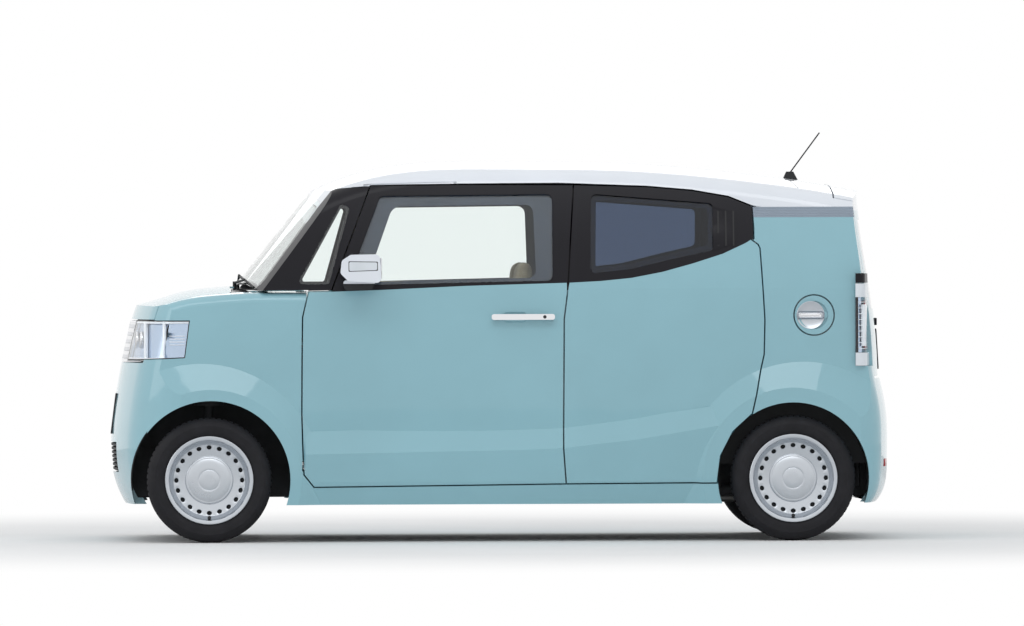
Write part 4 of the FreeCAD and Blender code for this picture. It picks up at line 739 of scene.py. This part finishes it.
# ---- wheel arches
def build_shields(sizes):
    """Pressed sheets at the inner side of each wheel arch."""
    for axle, inner, ahead, behind in (("front", 0.400, 0.355, 0.385), ("rear", 0.470, 0.345, 0.360)):
        corners = [(ahead - 0.045, 0.190), (ahead - 0.010, 0.260), (ahead, 0.330), (ahead, 0.600),
                   (ahead - 0.10, 0.690), (-behind + 0.10, 0.690), (-behind, 0.600), (-behind, 0.190)]
        for hand, side in SIDES:
            middle = wheel_middle(axle, hand)
            bm = bmesh.new()
            face = bm.faces.new([bm.verts.new((middle.x + x, side * inner, z)) for x, z in corners])
            made = bmesh.ops.inset_region(bm, faces=[face], thickness=0.035)
            for _ in range(3):
                core = [f for f in bm.faces if f not in made["faces"]]
                made = bmesh.ops.inset_region(bm, faces=core[-1:], thickness=0.012, depth=0.006)
            bmesh.ops.recalc_face_normals(bm, faces=bm.faces[:])
            bmesh.ops.solidify(bm, geom=bm.faces[:], thickness=0.003)
            piece(f"arch_shield_{axle}_{hand}", bm, "underbody", SHELL)


# ---- lamps
EYE = [(0.0, 0.006), (0.018, 0.009), (0.030, 0.010), (0.036, 0.012), (0.038, 0.006), (0.036, -0.004),
       (0.0, -0.004)]   # bright bowl of a headlamp: (radius, distance ahead)


def build_headlamps(sizes):
    """Reflector, seal, dividers, lips, lines and bowls behind each clear lens."""
    low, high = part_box("headlamps")
    skin = Skin("headlamps")
    middle = (low.z + high.z) / 2
    white = FINISH["lamp_white"]
    for hand, side in SIDES:
        def sheet(name, inset, *limits, **options):
            wrapped(f"headlamp_{name}_{hand}", "headlamps", side, inset, "chrome_trim", SHELL,
                    limits=limits, **options)
        sheet("reflector", 0.018, material=FINISH["reflector"])
        edge_bead(f"headlamp_seal_{hand}", "headlamps", side, 0.0030, 0.0024, "black_plastic", SHELL)
        for name, place in (("front", 0.2760), ("middle", 0.1945)):
            x = FRONT_AXLE + place
            sheet(f"divider_{name}", 0.002, (X_AXIS, x - 0.0040, x + 0.0040), thick=0.012, material=white)
        for name, z0, z1 in (("top", high.z - 0.012, high.z - 0.004),
                             ("foot", low.z + 0.004, low.z + 0.010)):
            sheet(f"lip_{name}", 0.003, (Z_AXIS, z0, z1), thick=0.010, material=white)
        for i in range(4):
            z = middle + (i - 1.5) * 0.0127
            sheet(f"line_{i}", 0.003, (X_AXIS, FRONT_AXLE + 0.104, FRONT_AXLE + 0.170),
                  (Z_AXIS, z - 0.0013, z + 0.0013), thick=0.012, material=white)
        for i, y in enumerate((0.400, 0.485)):
            centre = Vector((skin.end(side * y, middle, 1) - 0.018, side * y, middle))
            bm = bmesh.new()
            turned(bm, EYE, centre, 1, 40, X_AXIS)
            piece(f"headlamp_eye_{i}_{hand}", bm, "chrome_trim", SHELL)


def build_tail_lamps(sizes):
    """Cap, milky blocks, bar, red insert and ribs of each tall lamp, from the top down."""
    low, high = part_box("tail_lamps")
    front, top, bottom = high.x, high.z, low.z
    white = FINISH["lamp_white"]
    for hand, side in SIDES:
        def sheet(name, inset, slot, z0, z1, *more, **options):
            wrapped(f"tail_lamp_{name}_{hand}", "tail_lamps", side, inset, slot, SHELL, -1,
                    limits=((Z_AXIS, z0, z1), *more), **options)
        sheet("cap", -0.0006, "black_trim", top - 0.041, top - 0.001)
        sheet("upper_block", -0.0005, "chrome_trim", top - 0.103, top - 0.045, material=white)
        sheet("lower_block", -0.0005, "chrome_trim", bottom + 0.001, bottom + 0.057, material=white)
        sheet("backing", 0.020, "chrome_trim", bottom + 0.058, top - 0.104, material=FINISH["reflector"])
        sheet("edge", 0.0015, "black_trim", bottom + 0.058, top - 0.104, (X_AXIS, front - 0.012, front),
              thick=0.012)
        sheet("bar", 0.003, "chrome_trim", bottom + 0.085, top - 0.135,
              (X_AXIS, front - 0.052, front - 0.030), thick=0.010, material=white)
        sheet("red", 0.012, "lamp_clear", bottom + 0.070, top - 0.120, (X_AXIS, low.x, low.x + 0.022),
              thick=0.004, material=FINISH["lamp_red"])
        for i in range(9):
            z = bottom + 0.075 + i * (top - bottom - 0.200) / 8
            sheet(f"rib_{i}", 0.006, "chrome_trim", z - 0.0016, z + 0.0016, thick=0.006, material=white)


# ---- nose
GRILLE_SAMPLE_Y = 0.31      # Y at which the grille's slope is read
BUMPER_CROWN_Z = 0.72       # height at which the nose's curve across the car is read


def build_grille_frame(sizes):
    """Bright frame round the grille's bars, with a post in its middle."""
    skin, bumper = Skin("grille"), Skin("front_bumper")
    low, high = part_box("grille")
    half, reach, bar = 0.328, 0.032, 0.006

    def foremost(bottom, top):
        """Point (x, z) of the grille that stands furthest ahead between two heights."""
        heights = [bottom + (top - bottom) * i / 20 for i in range(21)]
        hits = [(skin.end(GRILLE_SAMPLE_Y, z, 1), z) for z in heights]
        return max(hit for hit in hits if hit[0] is not None)

    x_low, z_low = foremost(low.z, low.z + 0.05)
    x_top, z_top = foremost(high.z - 0.05, high.z)
    edge = bumper.end(GRILLE_SAMPLE_Y, BUMPER_CROWN_Z, 1)
    bm = bmesh.new()
    for y0, y1, z0, z1 in ((-half, half, high.z - 0.007, high.z - 0.0005),
                           (-half, half, low.z + 0.0005, low.z + 0.007),
                           (-half, -half + bar, low.z + 0.002, high.z - 0.002),
                           (half - bar, half, low.z + 0.002, high.z - 0.002),
                           (-0.005, 0.005, low.z + 0.002, high.z - 0.002)):
        slab(bm, -reach, 0.0005, y0, y1, z0, z1, 0.0008, 1)
    slice_across(bm, steps_between(-half, half, 12), Y_AXIS)
    for vert in bm.verts:
        crown = (bumper.end(vert.co.y * 0.98 + 0.001, BUMPER_CROWN_Z, 1) or edge) - edge
        vert.co.x += x_low + (x_top - x_low) * (vert.co.z - z_low) / (z_top - z_low) + crown
    piece("grille_frame", bm, "chrome_trim", SHELL)


def build_mouth(sizes):
    """Bars and posts in the air inlet, level with the bumper, and the blank front plate."""
    skin = Skin("front_bumper")
    half, foot, head, margin = 0.326, 0.304, 0.426, 0.012
    rows, columns, posts = 7, 12, 9

    def face_of(y, z):
        """X of the bumper's face, carried over the opening from its lower and upper edge."""
        low, top = (skin.end(y * 0.985, edge, 1) for edge in (foot - margin, head + margin))
        return low + (top - low) * (z - foot + margin) / (head - foot + 2 * margin)

    bm = bmesh.new()
    for row in range(rows):
        z = foot + (head - foot) * (row + 0.5) / rows
        slab(bm, -0.020, 0.0, -half, half, z - 0.0055, z + 0.0055, 0.0025)
    slice_across(bm, steps_between(-half, half, columns), Y_AXIS)
    for vert in bm.verts:
        vert.co.x += face_of(vert.co.y, vert.co.z)
    piece("inlet_bars", bm, "black_plastic", SHELL)
    bm = bmesh.new()
    for y in [-half] + steps_between(-half, half, posts - 1) + [half]:
        x = face_of(y, (foot + head) / 2)
        slab(bm, x - 0.035, x - 0.012, y - 0.004, y + 0.004, foot, head, 0.0015, 1)
    piece("inlet_posts", bm, "black_plastic", SHELL)
    plates("front", skin, 1, 0.012, (0.0007, 0.0017), 0.552, 0.08, SHELL)


# ---- side trim
# Outlines are (distance ahead of the axle named beside them, height).
DRIP = [(1.900, 1.532), (1.817, 1.537), (1.424, 1.546), (1.006, 1.548), (0.629, 1.534), (0.431, 1.517),
        (0.272, 1.489), (0.173, 1.449), (0.136, 1.4425)]  # rear
PULL = [(0.341, 1.445), (0.341, 1.250), (0.237, 1.286), (0.237, 1.414)]  # rear
FRONT_PANE = ([(-1.4850, 1.124), (-0.5960, 1.106), (-0.7430, 1.495), (-1.4850, 1.500)],
              [(-1.4140, 1.138), (-0.6800, 1.122), (-0.7960, 1.448), (-1.4020, 1.454)])  # front
REAR_PANE = ([(0.873, 1.156), (0.695, 1.174), (0.497, 1.222), (0.338, 1.255), (0.338, 1.457),
              (0.867, 1.500)],
             [(0.850, 1.180), (0.690, 1.198), (0.497, 1.246), (0.362, 1.276), (0.362, 1.436),
              (0.845, 1.474)])  # rear
MIRROR_LAMP = [(-0.724, 1.174), (-0.724, 1.207), (-0.604, 1.209), (-0.604, 1.170)]  # front
MIRROR_RIM = [(-0.727, 1.171), (-0.727, 1.210), (-0.601, 1.212), (-0.601, 1.167)]  # front
LOCK_X, LOCK_Z = 1.0715, 0.9695     # front door lock, X ahead of the rear axle
LINING_Y, LINING_THICK = 0.608, 0.028


def roof_side_trim(hand, side):
    outline = ([(x, z + 0.010) for x, z in DRIP] + [(x, z + 0.001) for x, z in reversed(DRIP)])
    side_panel(f"drip_moulding_{hand}", moved(outline, REAR_AXLE), Skin("roof_panel"), side, 0.0002,
               "paint_white", SHELL, 0.05, 0.005)


def rear_pull(hand, side):
    """Dark panel with three upright bars behind the rear pane, which hides the rear door's pull."""
    skin, body = Skin(f"rear_door_frame_{hand}"), f"rear_door_{hand}_body"
    side_panel(f"rear_pull_panel_{hand}", moved(PULL, REAR_AXLE), skin, side, 0.0004, "black_trim", body,
               0.04, 0.002, 0.006)
    for i, x in enumerate((0.318, 0.285, 0.252)):
        bar = [(x + 0.0035, 1.425), (x + 0.0035, 1.272), (x - 0.0035, 1.274), (x - 0.0035, 1.423)]
        side_panel(f"rear_pull_bar_{i}_{hand}", moved(bar, REAR_AXLE), skin, side, 0.0024,
                   "black_plastic", body, 0.04, 0.003)


def pane_edges(hand, side):
    for end, axle, outlines, rounding in (("front", FRONT_AXLE, FRONT_PANE, (0.012, 0.034)),
                                          ("rear", REAR_AXLE, REAR_PANE, (0.010, 0.018))):
        outer, inner = (moved(outline, axle) for outline in outlines)
        side_ring(f"{end}_glass_edge_{hand}", outer, inner, rounding, Skin(f"{end}_door_glass_{hand}"), side,
                  f"{end}_door_{hand}_body")


def mirror_trim(hand, side, body):
    """Lamp with its rim on the housing, dark foot, and the glass that looks back."""
    node = f"mirror_{hand}"
    skin = Skin(node)
    side_panel(f"mirror_lamp_rim_{hand}", moved(MIRROR_RIM, FRONT_AXLE), skin, side, -0.0010,
               "black_plastic", body, 0.03, 0.0013, 0.004)
    side_panel(f"mirror_lamp_{hand}", moved(MIRROR_LAMP, FRONT_AXLE), skin, side, -0.0010, "lamp_clear",
               body, 0.03, 0.0017, 0.006, material=FINISH["lamp_white"])
    wrapped(f"mirror_foot_{hand}", node, side, -0.0002, "black_plastic", body, thick=0.0008,
            limits=((Z_AXIS, 1.0, 1.1150),))
    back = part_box(node)[0].x
    block(f"mirror_glass_{hand}", (back - 0.003, back + 0.004, side * 0.765, side * 0.892, 1.135, 1.226),
          0.003, 2, "chrome_trim", body)


def door_fittings(hand, side, body):
    """Lock in the front door's handle, and a lining inside each door."""
    x = REAR_AXLE + LOCK_X
    centre = Vector((x, Skin(f"door_handle_{hand}").side(x, LOCK_Z, side), LOCK_Z))
    disc = [(0.0, 0.0012), (0.006, 0.0012), (0.0075, 0.00048), (0.0075, -0.002)]
    spun(f"door_lock_{hand}", [disc], centre, side, 32, "black_plastic", body)
    y0, y1 = side * LINING_Y, side * (LINING_Y - LINING_THICK)
    block(f"door_trim_top_{hand}", (REAR_AXLE + 1.030, FRONT_AXLE - 0.680, y0, y1, 0.70, 1.123), 0.012, 3,
          "interior_plastic", body)
    block(f"rear_door_trim_{hand}", (REAR_AXLE + 0.470, REAR_AXLE + 0.905, y0, y1, 0.62, 1.130), 0.012, 3,
          "interior_plastic", f"rear_door_{hand}_body")


def build_side_trim(sizes):
    """Mouldings, pulls, pane edges, mirror lamps and door linings."""
    for hand, side in SIDES:
        roof_side_trim(hand, side)
        rear_pull(hand, side)
        pane_edges(hand, side)
        mirror_trim(hand, side, f"front_door_{hand}_body")
        door_fittings(hand, side, f"front_door_{hand}_body")


FUEL_DISH = [(0.0, -0.0085), (0.030, -0.0075), (0.050, -0.0040), (0.0575, 0.0004), (0.0590, 0.0010),
             (0.0600, 0.0002), (0.0590, -0.0040), (0.050, -0.0080), (0.0, -0.0110)]


def build_fuel_lid(sizes):
    """Round dish on the lid with a lever across it."""
    low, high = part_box("fuel_lid")
    x, y, z = (low.x + high.x) / 2, high.y, (low.z + high.z) / 2
    body = "fuel_lid_body"
    spun("fuel_lid_dish", [FUEL_DISH], Vector((x, y, z)), 1, 64, "wheel_silver", body)
    block("fuel_lid_lever", (x - 0.059, x + 0.059, y - 0.006, y + 0.0035, z - 0.0165, z + 0.0165), 0.0125, 5,
          "wheel_silver", body)
    block("fuel_lid_lever_face", (x - 0.046, x + 0.050, y + 0.0030, y + 0.0046, z - 0.0095, z + 0.0095),
          0.0075, 4, "chrome_trim", body)


# ---- tail
def build_tail(sizes):
    """Blank plate and pull strip on the tailgate, reflectors on the bumper."""
    skin, bumper = Skin("tailgate"), Skin("rear_bumper")
    plates("rear", skin, -1, 0.008, (0.0016, 0.0030), 0.822, 0.1, "tailgate_body")
    bm = bmesh.new()
    slab(bm, -0.006, 0.004, -0.210, 0.210, 0.925, 0.957, 0.003, 3)
    for vert in bm.verts:
        vert.co.x = skin.end(NEAR_MIDDLE, 0.94, -1) - vert.co.x
    piece("tailgate_pull", bm, "black_trim", "tailgate_body")
    for hand, side in SIDES:
        y0, y1 = sorted((side * 0.420, side * 0.520))
        bm = bmesh.new()
        slab(bm, -0.002, 0.004, y0, y1, 0.315, 0.349, 0.003, 2)
        slice_across(bm, steps_between(y0, y1, 6), Y_AXIS)
        for vert in bm.verts:
            vert.co.x = bumper.end(vert.co.y, 0.332, -1) - vert.co.x
        piece(f"reflector_rear_{hand}", bm, "lamp_clear", SHELL, material=FINISH["lamp_red"])


# ---- seats
SWELL_CAP = 0.010       # how far the simulation may move a point
SWELL_FRAMES = 14
# kind, X from the seats' front, Y of the middle, half width, Z, crown, lean, channels, their run
FRONT_PADS = (("cushion", (-0.490, 0.0), 0.310, 0.235, (0.402, 0.548), 0.012, 0.0, 5, 0),
              ("back", (-0.500, -0.385), 0.310, 0.225, (0.500, 1.012), 0.012, 0.165, 6, 1),
              ("head", (-0.548, -0.478), 0.310, 0.120, (1.042, 1.202), 0.004, 0.06, 1, 1))
REAR_PADS = (("cushion", (-0.508, 0.0), 0.262, 0.256, (0.482, 0.574), 0.010, 0.0, 5, 0),
             ("back", (-0.510, -0.420), 0.262, 0.256, (0.500, 1.010), 0.010, 0.21, 6, 1),
             ("head", (-0.600, -0.540), 0.280, 0.110, (1.002, 1.142), 0.004, 0.08, 1, 1))


def swell(made):
    """Inflates a pad a little with a cloth simulation and keeps the result within a cap."""
    start = [vert.co.copy() for vert in made.data.vertices]
    press = made.modifiers.new("press", "CLOTH")
    press.settings.use_pressure = True
    press.settings.uniform_pressure_force = 4.0
    press.settings.effector_weights.gravity = 0.0
    press.settings.quality = 4
    press.collision_settings.use_collision = False
    scene = bpy.context.scene
    for step in range(1, SWELL_FRAMES + 1):
        scene.frame_set(step)
    shaped = made.evaluated_get(bpy.context.evaluated_depsgraph_get())
    places = [vert.co.copy() for vert in shaped.data.vertices]
    made.modifiers.remove(press)
    scene.frame_set(1)
    for vert, old, new in zip(made.data.vertices, start, places):
        move = new - old
        if move.length > SWELL_CAP:
            move *= SWELL_CAP / move.length
        vert.co = old + move


def pad(name, low, high, crown, lean, channels, run):
    """Crowned cushion between two corners; lean shifts it back with height.

    Run says on which of its two long axes the sewn channels are counted.
    """
    size, middle = high - low, (high + low) / 2
    bm = bmesh.new()
    bmesh.ops.create_cube(bm, size=1.0)
    bmesh.ops.subdivide_edges(bm, edges=bm.edges[:], cuts=15, use_grid_fill=True)
    face = min(range(3), key=lambda i: size[i])
    others = [i for i in range(3) if i != face]
    for vert in bm.verts:
        p = [c * 2 for c in vert.co]
        bulge = math.prod(1 - abs(p[i]) ** 6 for i in others)
        for i in others:
            p[i] *= 1 - 0.07 * abs(p[face]) ** 2
        q = [p[i] * size[i] / 2 for i in range(3)]
        q[face] *= 0.62 + 0.38 * bulge ** 0.5
        if abs(p[face]) > 0.98:
            wave = abs(math.sin((p[others[run]] + 1) / 2 * math.pi * channels)) ** 0.35
            q[face] += math.copysign(crown * bulge * (wave - 1.0), p[face])
        vert.co = middle + Vector(q)
        vert.co.x -= lean * (vert.co.z - low.z)
    made = piece(name, bm, "seat_cloth", SHELL, 60.0)
    swell(made)
    subdivision = made.modifiers.new("Subsurf", "SUBSURF")
    subdivision.levels = subdivision.render_levels = 1


def seat_pads(row, table, hand, side, front):
    for kind, xs, middle, half, zs, crown, lean, channels, run in table:
        low, high = (Vector((front + x, side * middle + dy, z)) for x, dy, z in zip(xs, (-half, half), zs))
        pad(f"{row}_{kind}_{hand}", low, high, crown, lean, channels, run)


def build_seats(sizes):
    """Cushion, back and head rest of four seats, on dark bases."""
    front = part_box("front_seats")[1].x
    for hand, side in SIDES:
        y = side * FRONT_PADS[0][2]
        seat_pads("front", FRONT_PADS, hand, side, front)
        for k, sign in enumerate((1, -1)):
            foot = Vector((front - 0.520, y + side * 0.05 * sign, 0.99))
            bm = bmesh.new()
            cylinder(bm, 0.006, foot, foot + Vector((-0.004, 0, 0.075)), 12)
            piece(f"front_head_post_{k}_{hand}", bm, "steel_tube", SHELL)
        box = (front - 0.450, front - 0.060, y - 0.19, y + 0.19, 0.2505, 0.402)
        base = block(f"front_seat_base_{hand}", box, 0.02, 3, "black_plastic", SHELL)
        if side == 1:
            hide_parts("front_seats")
    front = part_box("rear_seats")[1].x
    for hand, side in SIDES:
        seat_pads("rear", REAR_PADS, hand, side, front)
    base = block("rear_seat_base", (front - 0.480, front - 0.055, -0.48, 0.48, 0.2505, 0.484), 0.02, 3,
                 "black_plastic", SHELL)
    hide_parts("rear_seats")


# ---- operators and panel
def operator(build, label):
    """One operator class for one build function; what stops the function stops the operator."""
    def execute(self, context):
        build(context.scene.kei_sizes)
        return {"FINISHED"}
    name = build.__name__.removeprefix("build_")
    fields = {"bl_idname": "kei." + name, "bl_label": label, "__doc__": build.__doc__, "execute": execute}
    return type("KEI_OT_" + name, (bpy.types.Operator,), fields)


OPERATORS = [operator(*row) for row in (
    (build_stage, "Stage"), (build_paint, "Paint"), (build_tyres, "Tyres"), (build_wheels, "Wheels"),
    (build_shields, "Arch shields"), (build_headlamps, "Headlamps"), (build_grille_frame, "Grille frame"),
    (build_mouth, "Air inlet"), (build_tail_lamps, "Tail lamps"), (build_side_trim, "Side trim"),
    (build_fuel_lid, "Fuel lid"), (build_tail, "Tail"), (build_seats, "Seats"))]


class KEI_PT_panel(bpy.types.Panel):
    bl_idname = "KEI_PT_panel"
    bl_label = "Kei car"
    bl_space_type = "VIEW_3D"
    bl_region_type = "UI"
    bl_category = "Kei car"

    def draw(self, context):
        for name in KEI_PG_sizes.__annotations__:
            self.layout.prop(context.scene.kei_sizes, name)
        for made in OPERATORS:
            self.layout.operator(made.bl_idname)


CLASSES = [KEI_PG_sizes, *OPERATORS, KEI_PT_panel]


def register():
    for made in CLASSES:
        bpy.utils.register_class(made)
    bpy.types.Scene.kei_sizes = PointerProperty(type=KEI_PG_sizes)


def unregister():
    del bpy.types.Scene.kei_sizes
    for made in reversed(CLASSES):
        bpy.utils.unregister_class(made)


def main():
    register()
    for made in OPERATORS:
        getattr(bpy.ops.kei, made.bl_idname.split(".")[1])()


if __name__ == "__main__":
    main()
